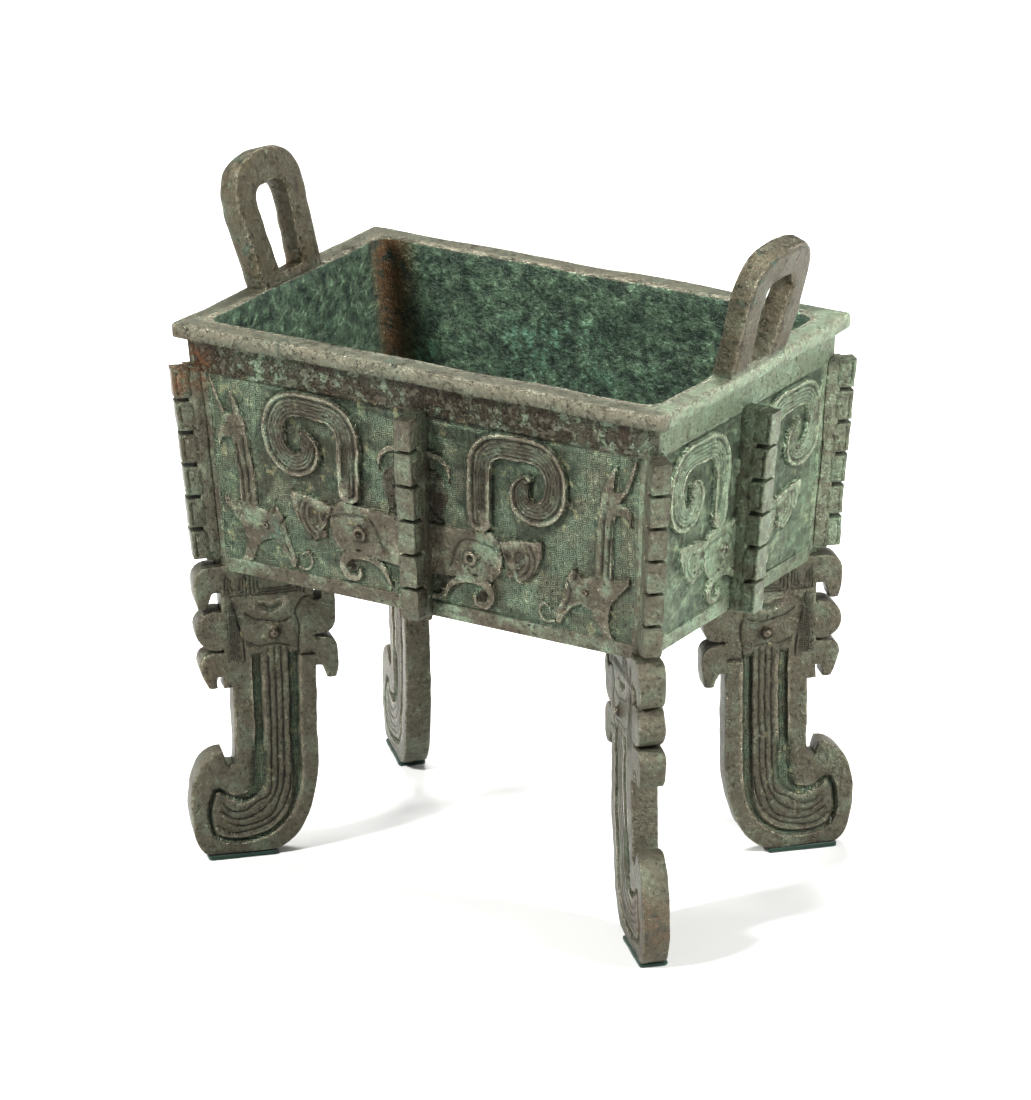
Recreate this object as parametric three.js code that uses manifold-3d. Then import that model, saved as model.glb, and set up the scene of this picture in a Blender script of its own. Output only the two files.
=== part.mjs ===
// A square cast-bronze food vessel on four flat hooked legs, with two upright ears on its rim.
// Millimetres, +Z up. X runs along the long sides and the front faces -Y. The origin lies under the
// middle of the vessel, on the surface that it stands on.
import * as THREE from "three";
import { mergeVertices } from "three/addons/utils/BufferGeometryUtils.js";
import Module from "manifold-3d";

const wasm = await Module();
wasm.setup();

// Vessel
const rimLength = 200;
const rimWidth = 127.4;
const rimTop = 201.5;
const rimThickness = 5.5;
const rimOverhang = 4;
const rimEdge = 0.8; // bevel along the rim's edges
const wallThickness = 5.5;
const endTaper = 6.7; // how far each end wall leans in, from the rim down to the base
const sideTaper = 1.7; // the same for the front and the back wall
const baseHeight = 110.6;
const floorThickness = 5.5;
const cavityCorner = 6; // radius of the upright corners inside
const cavityFloorCurve = 4; // radius where the walls meet the floor inside

// Carved panels
const neckHeight = 12; // plain band under the rim
const baseBand = 5; // plain band along the bottom
const panelMargin = 6; // plain strip beside each corner
const panelDepth = 0.5;
const panelSeat = 0.8; // how far a panel runs on behind its pocket's edges
const reliefRoot = 0.4; // how deep the relief is rooted in the panel
const sampleSpacing = 0.8; // along a carved band
const spareSamples = 8; // so that short bands are sampled closely too
const bluntness = 0.12; // how blunt a band's rounded ends are
const bendTolerance = 0.62; // how closely a carved band's facets follow its curve
const dragonInset = 21; // from the corner at the rim in to a dragon's back

// Upright fins on the corners and on the middles of the walls
const finDrop = 10; // from the rim's underside down to the top of the fins
const finNotches = 5;
const finNotchHeight = 1.3;
const cornerFin = { thickness: 6.8, reach: 7.6, footReach: 7, lift: 3.9, notchDepth: 5 };
const middleFin = { thickness: 7.2, reach: 11.5, footReach: 9.5, lift: 0, notchDepth: 5.5 };

// Ears
const earHeight = 45.2; // along the leaning face, above the rim
const earFootWidth = 37;
const earWidth = 41.5; // across the shoulders
const earThickness = 8.6;
const earLean = 16; // degrees outward
const earRoot = 4; // buried in the rim
const earHoleBottom = 1.6;
const earHoleTop = 32.6;
const earHoleFootWidth = 13;
const earHoleWidth = 17.4;
const earShoulder = 28; // where its sides start to turn over the top
const earCorner = 10.8; // how far below the top the turn ends
const earCrown = 0.4; // how much the top bows up

// Legs: flat plates that stand on the diagonals, measured outward from the base's corner
const legThickness = 9.4;
const legRoot = 2; // buried in the floor
const shaftInner = -34.6;
const shaftOuter = -4.6;
const headOuter = -1.4; // the leg is wider above the shaft
const headHeight = 44.9; // from the shaft up to the vessel's underside
const footInner = -18.5;
const footOuter = 5.8;
const heelHeight = 36.2; // where the shaft's inner edge starts to turn into the foot
const tailReach = 12.4;
const tailHeight = 39.4; // above the underside of the foot
const tailNotch = { inner: -4.1, outer: -1.6, floor: 34.4 };
const carvingDepth = 0.8;
const legEye = { at: [-19.8, 20], radius: 2.5, height: 1.5 };

// Felt pads under the feet
const padThickness = 1.5;
const padWidth = 10;
const padOverlap = 0.6; // how far a pad runs past the flat of the foot
const padCorner = 1.5;
const glueGap = 0.3;

const footBottom = padThickness + glueGap;
const headBottom = baseHeight - headHeight;
const wallTop = rimTop - rimThickness;
const wallHeight = wallTop - baseHeight;
const topHalf = [rimLength / 2 - rimOverhang, rimWidth / 2 - rimOverhang];
const baseHalf = [topHalf[0] - endTaper, topHalf[1] - sideTaper];
const panelTop = -neckHeight;
const panelBottom = baseBand - wallHeight;
const slope = Math.SQRT1_2;

// Outer half sizes of the wall at a height.
function wallHalf(z) {
  const t = (z - baseHeight) / wallHeight;
  return [0, 1].map((i) => baseHalf[i] + (topHalf[i] - baseHalf[i]) * t);
}

// Solids from geometry
function solidOf(geometry, matrix = new THREE.Matrix4()) {
  const bare = new THREE.BufferGeometry();
  bare.setAttribute("position", geometry.getAttribute("position").clone());
  bare.setIndex(geometry.index);
  bare.applyMatrix4(matrix);
  const merged = mergeVertices(bare, 1e-4);
  const points = merged.attributes.position.array;
  const faces = new Uint32Array(merged.index.array);
  const corner = (i) => new THREE.Vector3().fromArray(points, 3 * faces[i]);
  let volume = 0;
  for (let i = 0; i < faces.length; i += 3) {
    volume += corner(i).dot(corner(i + 1).cross(corner(i + 2)));
  }
  if (volume < 0) faces.reverse();
  return new wasm.Manifold(new wasm.Mesh({ numProp: 3, vertProperties: points, triVerts: faces }));
}

function geometryOf(solid) {
  const mesh = solid.getMesh();
  const geometry = new THREE.BufferGeometry();
  geometry.setAttribute("position", new THREE.BufferAttribute(mesh.vertProperties, mesh.numProp));
  geometry.setIndex(new THREE.BufferAttribute(mesh.triVerts, 1));
  geometry.computeVertexNormals();
  return geometry;
}

function join(solids) {
  return solids.reduce((whole, next) => whole.add(next));
}

function cut(solid, tools) {
  return tools.reduce((rest, tool) => rest.subtract(tool), solid);
}

// A closed skin through rings of points that all have the same count.
function skin(rings) {
  const count = rings[0].length;
  const faces = [];
  for (let j = 0; j + 1 < rings.length; j++) {
    for (let i = 0; i < count; i++) {
      const a = j * count + i;
      const b = j * count + ((i + 1) % count);
      faces.push(a, b, b + count, a, b + count, a + count);
    }
  }
  const cap = THREE.ShapeUtils.triangulateShape(flat(rings[0]), []);
  const last = (rings.length - 1) * count;
  cap.forEach(([a, b, c]) => faces.push(c, b, a, last + a, last + b, last + c));
  const geometry = new THREE.BufferGeometry().setFromPoints(rings.flat());
  geometry.setIndex(faces);
  return geometry;
}

// A ring's points laid flat on the plane that it nearly lies in, for its end face.
function flat(ring) {
  const middle = ring.reduce((sum, p) => sum.add(p), new THREE.Vector3()).divideScalar(ring.length);
  const normal = new THREE.Vector3();
  ring.forEach((p, i) => {
    const next = ring[(i + 1) % ring.length];
    normal.add(p.clone().sub(middle).cross(next.clone().sub(middle)));
  });
  const level = new THREE.Quaternion().setFromUnitVectors(normal.normalize(), new THREE.Vector3(0, 0, 1));
  return ring.map((p) => {
    const q = p.clone().sub(middle).applyQuaternion(level);
    return new THREE.Vector2(q.x, q.y);
  });
}

// A level rectangle with rounded corners.
function rectangle([halfX, halfY], z, radius = 0, steps = 0) {
  const ring = [];
  const centres = [[1, 1], [-1, 1], [-1, -1], [1, -1]];
  centres.forEach(([sx, sy], quarter) => {
    for (let i = 0; i <= steps; i++) {
      const angle = (quarter + (steps ? i / steps : 0.5)) * Math.PI / 2;
      const x = sx * (halfX - radius) + radius * Math.cos(angle);
      const y = sy * (halfY - radius) + radius * Math.sin(angle);
      ring.push(new THREE.Vector3(x, y, z));
    }
  });
  return ring;
}

// Carved bands: a profile drawn along a path. A path's knots are [across, up, width]; a smooth curve runs
// through them, and each end is rounded where the band keeps its width up to it.
function stations(knots) {
  const points = knots.map((knot) => new THREE.Vector3(...knot));
  const line = new THREE.CatmullRomCurve3(points, false, "centripetal");
  const length = line.getLength();
  const samples = Math.ceil(length / sampleSpacing) + spareSamples;
  const path = [];
  for (let i = 0; i <= samples; i++) {
    const p = line.getPointAt(i / samples);
    const edge = Math.min(i, samples - i) / samples * length;
    const half = p.z / 2;
    const round = edge < half ? Math.sqrt(Math.max(bluntness, 1 - (1 - edge / half) ** 2)) : 1;
    path.push(new THREE.Vector3(p.x, p.y, half * round));
  }
  return thinned(path);
}

// Keeps only the stations where a path bends or changes its width.
function thinned(path) {
  const chord = new THREE.Line3(path[0], path[path.length - 1]);
  const near = new THREE.Vector3();
  let farthest = 0;
  let most = bendTolerance;
  path.forEach((point, i) => {
    const off = chord.closestPointToPoint(point, true, near).distanceTo(point);
    if (off > most) {
      most = off;
      farthest = i;
    }
  });
  if (!farthest) return [path[0], path[path.length - 1]];
  return [...thinned(path.slice(0, farthest + 1)).slice(0, -1), ...thinned(path.slice(farthest))];
}

function band(knots, profile) {
  const path = stations(knots);
  const rings = path.map((point, i) => {
    const before = path[Math.max(i - 1, 0)];
    const after = path[Math.min(i + 1, path.length - 1)];
    const into = new THREE.Vector2(point.x - before.x, point.y - before.y).normalize();
    const away = new THREE.Vector2(after.x - point.x, after.y - point.y).normalize();
    const way = into.add(away).normalize();
    return profile.map(([side, height]) => {
      return new THREE.Vector3(point.x - way.y * side * point.z, point.y + way.x * side * point.z, height);
    });
  });
  return skin(rings);
}

// Band profiles, across from -1 to 1 and up from the ground
function plainProfile(height, root) {
  return [[-1, -root], [-1, height], [1, height], [1, -root]];
}

function hollowProfile(height, root) {
  return [[-1, -root], [-1, height], [0, height / 2], [1, height], [1, -root]];
}

function plate(shape, thickness, bottom, curveSegments = 4) {
  const settings = { depth: thickness, bevelEnabled: false, curveSegments };
  const geometry = new THREE.ExtrudeGeometry(shape, settings);
  return geometry.translate(0, 0, bottom);
}

// A low dome on a panel or a leg, with its root below the surface.
function boss(x, y, radius, height, root) {
  const dome = new THREE.LatheGeometry([
    new THREE.Vector2(0, -root),
    new THREE.Vector2(radius, -root),
    new THREE.Vector2(radius * 0.6, height),
    new THREE.Vector2(0, height),
  ], 8);
  return dome.rotateX(Math.PI / 2).translate(x, y, 0);
}

// Vessel
function shell() {
  const body = skin([rectangle(baseHalf, baseHeight), rectangle(topHalf, wallTop + rimEdge)]);
  const rimHalf = [rimLength / 2, rimWidth / 2];
  const bevelHalf = rimHalf.map((half) => half - rimEdge);
  const rim = skin([
    rectangle(bevelHalf, wallTop),
    rectangle(rimHalf, wallTop + rimEdge),
    rectangle(rimHalf, rimTop - rimEdge),
    rectangle(bevelHalf, rimTop),
  ]);
  return solidOf(body).add(solidOf(rim));
}

function cavity() {
  const floor = baseHeight + floorThickness;
  const inside = (z, shrink) => wallHalf(z).map((half) => half - wallThickness - shrink);
  const curveSteps = 2;
  const rings = [];
  for (let i = 0; i <= curveSteps; i++) {
    const angle = i / curveSteps * Math.PI / 2;
    const shrink = cavityFloorCurve * (1 - Math.sin(angle));
    const z = floor + cavityFloorCurve * (1 - Math.cos(angle));
    rings.push(rectangle(inside(z, shrink), z, cavityCorner, 3));
  }
  const lip = rimTop - rimEdge;
  rings.push(rectangle(inside(lip, 0), lip, cavityCorner, 3));
  rings.push(rectangle(inside(lip, -2 * rimEdge), rimTop + rimEdge, cavityCorner, 3));
  return solidOf(skin(rings));
}

// The frame of a wall: across the wall, up its slope, and outward from the panel's ground. The first
// wall is the front, and the others follow counterclockwise as seen from above.
function wallFrame(index) {
  const isLong = index % 2 === 0;
  const out = isLong ? topHalf[1] : topHalf[0];
  const taper = isLong ? sideTaper : endTaper;
  const across = new THREE.Vector3(1, 0, 0);
  const up = new THREE.Vector3(0, -taper, wallHeight).normalize();
  const outward = across.clone().cross(up).normalize();
  const ground = new THREE.Vector3(0, -out, wallTop).addScaledVector(outward, -panelDepth);
  const frame = new THREE.Matrix4().makeBasis(across, up, outward).setPosition(ground);
  return new THREE.Matrix4().makeRotationZ(index * Math.PI / 2).multiply(frame);
}

function panelShape(isLong, grow) {
  const half = (v) => wallHalf(wallTop + v)[isLong ? 0 : 1] - panelMargin + grow;
  const top = half(panelTop);
  const bottom = half(panelBottom);
  return new THREE.Shape([
    new THREE.Vector2(-bottom, panelBottom - grow),
    new THREE.Vector2(bottom, panelBottom - grow),
    new THREE.Vector2(top, panelTop + grow),
    new THREE.Vector2(-top, panelTop + grow),
  ]);
}

// The pocket for a panel, a little deeper than the panel's ground.
function pocket(isLong) {
  return plate(panelShape(isLong, 0), panelDepth + 1 + panelSeat, -panelSeat);
}

// The carvings are drawn for a panel of this height, and keep to its proportions.
const drawnHeight = 68.4;
const carvingRise = (v) => panelTop + (v + neckHeight) * (panelTop - panelBottom) / drawnHeight;

// Knots moved across a panel and fitted to its height.
function placed(knots, shift) {
  return knots.map(([u, v, width]) => [u + shift, carvingRise(v), width]);
}

// The animal mask. Each half is measured from the middle of the wall and down from the wall's top.
const horn = {
  armAt: 26.5, armWidth: 9.4, armFoot: -47, crown: -14.4, crownWidth: 7.6,
  shoulder: 7, shoulderWidth: 8.4, coilAt: 50, coilMiddle: -30.6, coilReach: 9.5, coilRise: 12.4,
  coilWidth: 6.2, coilSwell: 1.4, coilTurn: 335, coilEnd: 3.1, squareness: 0.72,
};

// A horn: an arm that rises beside the middle fin, bends outward and coils in on itself.
function hornKnots() {
  const arm = horn.armAt;
  const coil = horn.coilAt;
  const crown = horn.crown - horn.crownWidth / 2;
  const knots = [
    [arm, horn.armFoot, horn.armWidth],
    [arm, (horn.armFoot + crown) / 2, horn.armWidth],
    [arm + 0.5, crown - horn.shoulder, horn.armWidth],
    [arm + 4.5, crown - 1.6, horn.shoulderWidth],
  ];
  const turns = 11;
  for (let i = 0; i <= turns; i++) {
    const t = i / turns;
    const angle = THREE.MathUtils.degToRad(90 - horn.coilTurn * t);
    const tighten = t ** 5;
    const reach = THREE.MathUtils.lerp(horn.coilReach, horn.coilEnd, tighten);
    const rise = THREE.MathUtils.lerp(horn.coilRise, horn.coilEnd / 2, tighten);
    const square = (value) => Math.sign(value) * Math.abs(value) ** horn.squareness;
    const swell = horn.coilSwell * Math.cos(2 * angle + Math.PI);
    const width = horn.coilWidth + swell - (horn.coilWidth + horn.coilSwell - horn.coilEnd) * tighten;
    const across = coil + reach * square(Math.cos(angle));
    knots.push([across, horn.coilMiddle + rise * square(Math.sin(angle)), width]);
  }
  return knots;
}

const maskBands = [
  [[36, -57, 3.4], [40.5, -53.6, 4.8], [45.5, -53, 4.6], [47.4, -57, 4.4], [45.4, -62, 4.6],
    [41, -64.8, 4.4], [37, -64.2, 3.2]], // ear
  [[9.5, -74.6, 2.6], [13.5, -70.8, 3.2], [19.5, -69.2, 3.4], [25.6, -69.9, 3.6], [28.2, -73.4, 3.2],
    [26.2, -77, 2.8], [22.6, -76.6, 2.4]], // nostril
  [[2, -27, 3.4], [8, -26.6, 3.2], [11.6, -29, 2.8], [11.9, -34, 1.6]], // forehead curl
];
const cheek = { inner: 2, top: -50, outer: 34, shoulder: -53.5, chin: -69.5, chinOuter: 29.5 };
const maskEye = { at: [22.8, -61], radius: 3.9, height: 2.9 };
const maskHeight = 1.3;
const cheekHeight = 0.8;

function cheekShape(shift) {
  const top = carvingRise(cheek.top);
  const shoulder = carvingRise(cheek.shoulder);
  const chin = carvingRise(cheek.chin);
  const outer = cheek.outer + shift;
  const shape = new THREE.Shape();
  shape.moveTo(cheek.inner, top);
  shape.lineTo(outer - 4, top);
  shape.quadraticCurveTo(outer - 1, top, outer, shoulder);
  shape.quadraticCurveTo(outer, chin + 4, cheek.chinOuter + shift, chin);
  shape.lineTo(cheek.inner, chin);
  return shape;
}

function maskHalf(shift) {
  const [eyeU, eyeV] = maskEye.at;
  return [
    band(placed(hornKnots(), shift), hollowProfile(maskHeight, reliefRoot)),
    plate(cheekShape(shift), cheekHeight + reliefRoot, -reliefRoot),
    boss(eyeU + shift, carvingRise(eyeV), maskEye.radius, maskEye.height, reliefRoot),
    ...maskBands.map((knots) => band(placed(knots, shift), plainProfile(maskHeight, reliefRoot))),
  ];
}

// An upright dragon, head down, at the outer end of a long panel. Measured outward from its back and
// down from the rim.
const dragonHeight = 1;
const dragonEye = { at: [-8.3, -65], radius: 1.7, height: 2 };
const dragonBands = [
  [[1.8, -27, 5.4], [0.6, -38, 5.8], [-1.6, -49, 6.4], [-3, -60, 7.4]], // back
  [[2, -28, 3], [1.6, -22, 2.8], [3, -16, 1.8]], // inner prong of the tail
  [[2.8, -28, 3], [6.3, -22.5, 2.8], [9.8, -15, 1.8]], // outer prong of the tail
  [[0.5, -31.6, 3.4], [5.5, -31, 3.6], [9, -33.4, 3], [9, -38, 1.6]], // tail hook
  [[-1, -61, 5], [4.5, -60.4, 3.8], [8.3, -56.4, 1.6]], // crest
  [[-2, -60, 7.6], [-2.2, -68, 6], [-2.8, -74, 4.8], [-1.6, -79.6, 5.6]], // leg
  [[-3, -60, 8], [-9, -64.5, 9.4], [-14.5, -67, 7.2], [-19, -72, 5.2], [-22.6, -76.8, 3.8],
    [-27.2, -77.6, 3.2], [-29, -74.4, 1.8]], // head and trunk
];

function dragon() {
  const back = topHalf[0] - dragonInset;
  const [eyeU, eyeV] = dragonEye.at;
  return [
    ...dragonBands.map((knots) => band(placed(knots, back), plainProfile(dragonHeight, reliefRoot))),
    boss(eyeU + back, carvingRise(eyeV), dragonEye.radius, dragonEye.height, reliefRoot),
  ];
}

const shortMaskShift = -11; // the short walls' masks are drawn in toward their middle

// A panel with its relief, rooted behind the edges of its pocket.
function panel(isLong) {
  const half = isLong ? [...maskHalf(0), ...dragon()] : maskHalf(shortMaskShift);
  const ground = plate(panelShape(isLong, panelSeat), 2 * panelSeat, -2 * panelSeat);
  const sides = [1, -1].map((side) => new THREE.Matrix4().makeScale(side, 1, 1));
  const relief = half.flatMap((piece) => sides.map((side) => solidOf(piece, side)));
  return geometryOf(join([solidOf(ground), ...relief]));
}

// Fins. A fin's outline lies across its reach and up from the wall's top, with slits from its edge.
function finShape({ reach, footReach, lift, notchDepth }) {
  const top = -finDrop;
  const bottom = lift - wallHeight;
  const edge = (v) => THREE.MathUtils.lerp(reach, footReach, (top - v) / (top - bottom));
  const root = -wallThickness / 2;
  const points = [[root, top], [root, bottom], [edge(bottom), bottom]];
  const pitch = (top - bottom) / (finNotches + 1);
  for (let i = 1; i <= finNotches; i++) {
    const low = bottom + i * pitch - finNotchHeight / 2;
    const high = low + finNotchHeight;
    points.push([edge(low), low], [edge(low) - notchDepth, low], [edge(high) - notchDepth, high]);
    points.push([edge(high), high]);
  }
  points.push([edge(top), top]);
  return new THREE.Shape(points.map((p) => new THREE.Vector2(...p)));
}

// Corner frames: outward on the diagonal, up the corner's line, and across.
function finFrame(sx, sy) {
  const outward = new THREE.Vector3(sx * slope, sy * slope, 0);
  const up = new THREE.Vector3(sx * endTaper, sy * sideTaper, wallHeight).divideScalar(wallHeight);
  const across = new THREE.Vector3(-sy * slope, sx * slope, 0);
  const corner = new THREE.Vector3(sx * topHalf[0], sy * topHalf[1], wallTop);
  return new THREE.Matrix4().makeBasis(outward, up, across).setPosition(corner);
}

function middleFinFrame(index) {
  const isLong = index % 2 === 0;
  const taper = isLong ? sideTaper : endTaper;
  const out = isLong ? topHalf[1] : topHalf[0];
  const outward = new THREE.Vector3(0, -1, 0);
  const up = new THREE.Vector3(0, -taper, wallHeight).divideScalar(wallHeight);
  const across = new THREE.Vector3(1, 0, 0);
  const frame = new THREE.Matrix4().makeBasis(outward, up, across).setPosition(0, -out, wallTop);
  return new THREE.Matrix4().makeRotationZ(index * Math.PI / 2).multiply(frame);
}

function fin(size, frame) {
  return solidOf(plate(finShape(size), size.thickness, -size.thickness / 2), frame);
}

// Ears
function earShape() {
  const foot = earFootWidth / 2;
  const half = earWidth / 2;
  const turn = earCorner * 0.55;
  const top = earHeight - earCrown;
  const shape = new THREE.Shape();
  shape.moveTo(-foot, -earRoot);
  shape.lineTo(foot, -earRoot);
  shape.lineTo(half, earShoulder);
  shape.bezierCurveTo(half, earHeight - turn, half - turn, top - earCrown, half - 1.5 * earCorner, top);
  shape.quadraticCurveTo(0, earHeight + earCrown, 1.5 * earCorner - half, top);
  shape.bezierCurveTo(turn - half, top - earCrown, -half, earHeight - turn, -half, earShoulder);
  const holeFoot = earHoleFootWidth / 2;
  const holeHalf = earHoleWidth / 2;
  const bend = earHoleTop - holeHalf * 0.8;
  const hole = new THREE.Path();
  hole.moveTo(-holeFoot, earHoleBottom);
  hole.lineTo(-holeHalf, bend);
  hole.bezierCurveTo(-holeHalf, earHoleTop, -holeHalf * 0.5, earHoleTop, 0, earHoleTop);
  hole.bezierCurveTo(holeHalf * 0.5, earHoleTop, holeHalf, earHoleTop, holeHalf, bend);
  hole.lineTo(holeFoot, earHoleBottom);
  hole.closePath();
  shape.holes.push(hole);
  return shape;
}

function ear(side) {
  const lean = THREE.MathUtils.degToRad(earLean);
  const across = new THREE.Vector3(0, 1, 0);
  const up = new THREE.Vector3(side * Math.sin(lean), 0, Math.cos(lean));
  const outward = new THREE.Vector3(side * Math.cos(lean), 0, -Math.sin(lean));
  const frame = new THREE.Matrix4().makeBasis(across, up, outward);
  frame.setPosition(side * rimLength / 2, 0, rimTop);
  return solidOf(plate(earShape(), earThickness, -earThickness, 6), frame);
}

// Legs. A leg's outline lies outward from the base's corner and up from the surface.
function shaftShape() {
  const top = baseHeight + legRoot;
  const heel = footBottom + heelHeight;
  const tail = footBottom + tailHeight;
  const notch = footBottom + tailNotch.floor;
  const shape = new THREE.Shape();
  shape.moveTo(shaftInner, top);
  shape.lineTo(shaftInner, heel);
  shape.bezierCurveTo(shaftInner, heel / 2, (shaftInner + footInner) / 2 - 3, footBottom + 2, footInner,
    footBottom);
  shape.lineTo(footOuter, footBottom);
  shape.quadraticCurveTo(tailReach - 1.4, footBottom + 1, tailReach, tail * 0.42);
  shape.bezierCurveTo(tailReach + 0.2, tail * 0.74, tailReach - 3.6, tail, tailNotch.outer + 1.4, tail);
  shape.lineTo(tailNotch.outer, notch);
  shape.lineTo(tailNotch.inner, notch);
  shape.lineTo(shaftOuter, notch + 4);
  shape.lineTo(shaftOuter, headBottom);
  shape.lineTo(headOuter, headBottom);
  shape.lineTo(headOuter, top);
  return shape;
}

// The hooks along a leg's edges. Each leaves the edge at its crown, turns, and ends in a tip beside a gap.
// Reach, tip and gap are measured out from the edge, and heights down from the vessel's underside.
const hooks = [
  { edge: headOuter, out: 1, reach: 9.8, bend: 7, tipInner: 4.6, tipOuter: 8, gap: 3.6,
    crown: -1.8, tip: 14.9, root: 8.6 },
  { edge: headOuter, out: 1, reach: 8.6, bend: 5, tipInner: 2.3, tipOuter: 5.4, gap: 2.2,
    crown: 30.6, tip: 45, root: 40.1 },
  { edge: shaftInner, out: -1, reach: 8.2, bend: 6, tipInner: 4, tipOuter: 7.4, gap: 2.7,
    crown: 28.6, tip: 45, root: 39.6 },
  { edge: shaftInner, out: -1, reach: 7.7, bend: 6, tipInner: 2.8, tipOuter: 6.2, gap: 2.6,
    crown: 27.7, tip: -legRoot, root: 14.1 },
];
const hookLobe = { at: [0.6, 22.6], radius: 7.4 };
const hookSeat = 3; // how far a hook is rooted inside the leg's edge

function hookShape({ edge, out, reach, bend, tipInner, tipOuter, gap, ...drops }) {
  const [crown, tip, root] = [drops.crown, drops.tip, drops.root].map((drop) => baseHeight - drop);
  const way = Math.sign(tip - crown);
  const at = (distance) => edge + out * distance;
  const shape = new THREE.Shape();
  shape.moveTo(at(-hookSeat), crown);
  shape.lineTo(at(reach - bend), crown);
  shape.quadraticCurveTo(at(reach), crown, at(reach), crown + way * bend);
  shape.lineTo(at(tipOuter), tip);
  shape.lineTo(at(tipInner), tip);
  shape.lineTo(at(gap), root + way * gap / 2);
  shape.quadraticCurveTo(at(gap), root, at(gap / 2), root);
  shape.lineTo(at(-hookSeat), root);
  return shape;
}

// The channels that are cut into both faces of a leg, measured up from the underside of the foot
const shaftTop = headBottom + 10.3 - footBottom;
const channels = [
  [[-26.6, shaftTop, 3.2], [-26.6, 48.2, 3.2], [-26.4, 26.2, 3.2], [-23.6, 14.6, 3.2], [-17.6, 7.8, 3],
    [-9.6, 5.6, 2.4], [-2, 5.8, 2], [3.6, 8.2, 1.6], [4.8, 14.2, 1.5], [4.4, 19.8, 1.4], [3, 24.4, 1.2]],
  [[-13.4, shaftTop, 3], [-13.4, 48.2, 3], [-13.2, 30.2, 3], [-11.4, 24.2, 4], [-7, 21.8, 4.4],
    [-2.4, 22.6, 3.4], [1.4, 25.2, 1.2]],
];
// The crescent above each eye, measured up from the top of the shaft
const crescent = [
  [-26.4, 22.6, 1.2], [-22.4, 18.9, 2.6], [-18.6, 17.8, 3.2], [-14.8, 18.9, 2.6], [-10.8, 22.6, 1.2],
];

// Knots lifted to a height on the leg.
function lifted(knots, height) {
  return knots.map(([r, z, width]) => [r, z + height, width]);
}

function leg() {
  const half = legThickness / 2;
  const floor = half - carvingDepth;
  const carved = [[-1, floor], [1, floor], [1, half + 1], [-1, half + 1]];
  const lobe = new THREE.CylinderGeometry(hookLobe.radius, hookLobe.radius, legThickness, 12);
  lobe.rotateX(Math.PI / 2).translate(hookLobe.at[0], baseHeight - hookLobe.at[1], 0);
  const raised = [
    plate(shaftShape(), legThickness, -half, 4),
    lobe,
    ...hooks.map((hook) => plate(hookShape(hook), legThickness, -half, 3)),
  ];
  const grooves = [
    ...channels.map((knots) => band(lifted(knots, footBottom), carved)),
    band(lifted(crescent, footBottom + shaftTop), carved),
  ];
  const [eyeR, eyeUp] = legEye.at;
  const eye = boss(eyeR, headBottom + eyeUp, legEye.radius, half + legEye.height, 0);
  const faces = [new THREE.Matrix4(), new THREE.Matrix4().makeScale(1, 1, -1)];
  const blank = join(raised.map((piece) => solidOf(piece)));
  const cutLeg = cut(blank, grooves.flatMap((groove) => faces.map((face) => solidOf(groove, face))));
  return geometryOf(join([cutLeg, ...faces.map((face) => solidOf(eye, face))]));
}

function legFrame(sx, sy) {
  const outward = new THREE.Vector3(sx * slope, sy * slope, 0);
  const across = new THREE.Vector3(sy * slope, -sx * slope, 0);
  const frame = new THREE.Matrix4().makeBasis(outward, new THREE.Vector3(0, 0, 1), across);
  return frame.setPosition(sx * baseHalf[0], sy * baseHalf[1], 0);
}

function pad() {
  const halfX = (footOuter - footInner) / 2 + padOverlap;
  const ring = (z) => rectangle([halfX, padWidth / 2], z, padCorner, 2);
  return skin([ring(0), ring(padThickness)]);
}

// The bronze, cast as one
const corners = [[-1, -1], [1, -1], [1, 1], [-1, 1]];
const wallNames = ["front", "right", "back", "left"];

function vessel() {
  const isLong = (index) => index % 2 === 0;
  const pockets = wallNames.map((name, index) => solidOf(pocket(isLong(index)), wallFrame(index)));
  const panels = [panel(true), panel(false)];
  const carved = wallNames.map((name, index) => solidOf(panels[index % 2], wallFrame(index)));
  const fins = [
    ...corners.map(([sx, sy]) => fin(cornerFin, finFrame(sx, sy))),
    ...wallNames.map((name, index) => fin(middleFin, middleFinFrame(index))),
  ];
  const legShape = leg();
  const legs = corners.map(([sx, sy]) => solidOf(legShape, legFrame(sx, sy)));
  const ears = [-1, 1].map(ear);
  return join([cut(shell(), pockets), ...carved, ...fins, ...legs, ...ears]).subtract(cavity());
}

const ding = new THREE.Group();
const bronze = new THREE.MeshStandardMaterial({ color: 0x5f6557, roughness: 0.62, metalness: 0.55 });
const vesselMesh = new THREE.Mesh(geometryOf(vessel()), bronze);
vesselMesh.name = "bronze_ding";
ding.add(vesselMesh);

const padNames = ["front_left", "front_right", "back_right", "back_left"];
corners.forEach(([sx, sy], i) => {
  const felt = new THREE.MeshStandardMaterial({ color: 0x1f4433, roughness: 0.95, metalness: 0 });
  const padMesh = new THREE.Mesh(pad(), felt);
  const middle = (footInner + footOuter) / 2;
  padMesh.name = `felt_pad_${padNames[i]}`;
  padMesh.position.set(sx * (baseHalf[0] + middle * slope), sy * (baseHalf[1] + middle * slope), 0);
  padMesh.rotation.z = Math.atan2(sy, sx);
  ding.add(padMesh);
});

export default ding;
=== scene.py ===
import math
from functools import partial

import bpy
import numpy as np
from mathutils import Matrix, Vector
from mathutils.geometry import delaunay_2d_cdt


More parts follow.
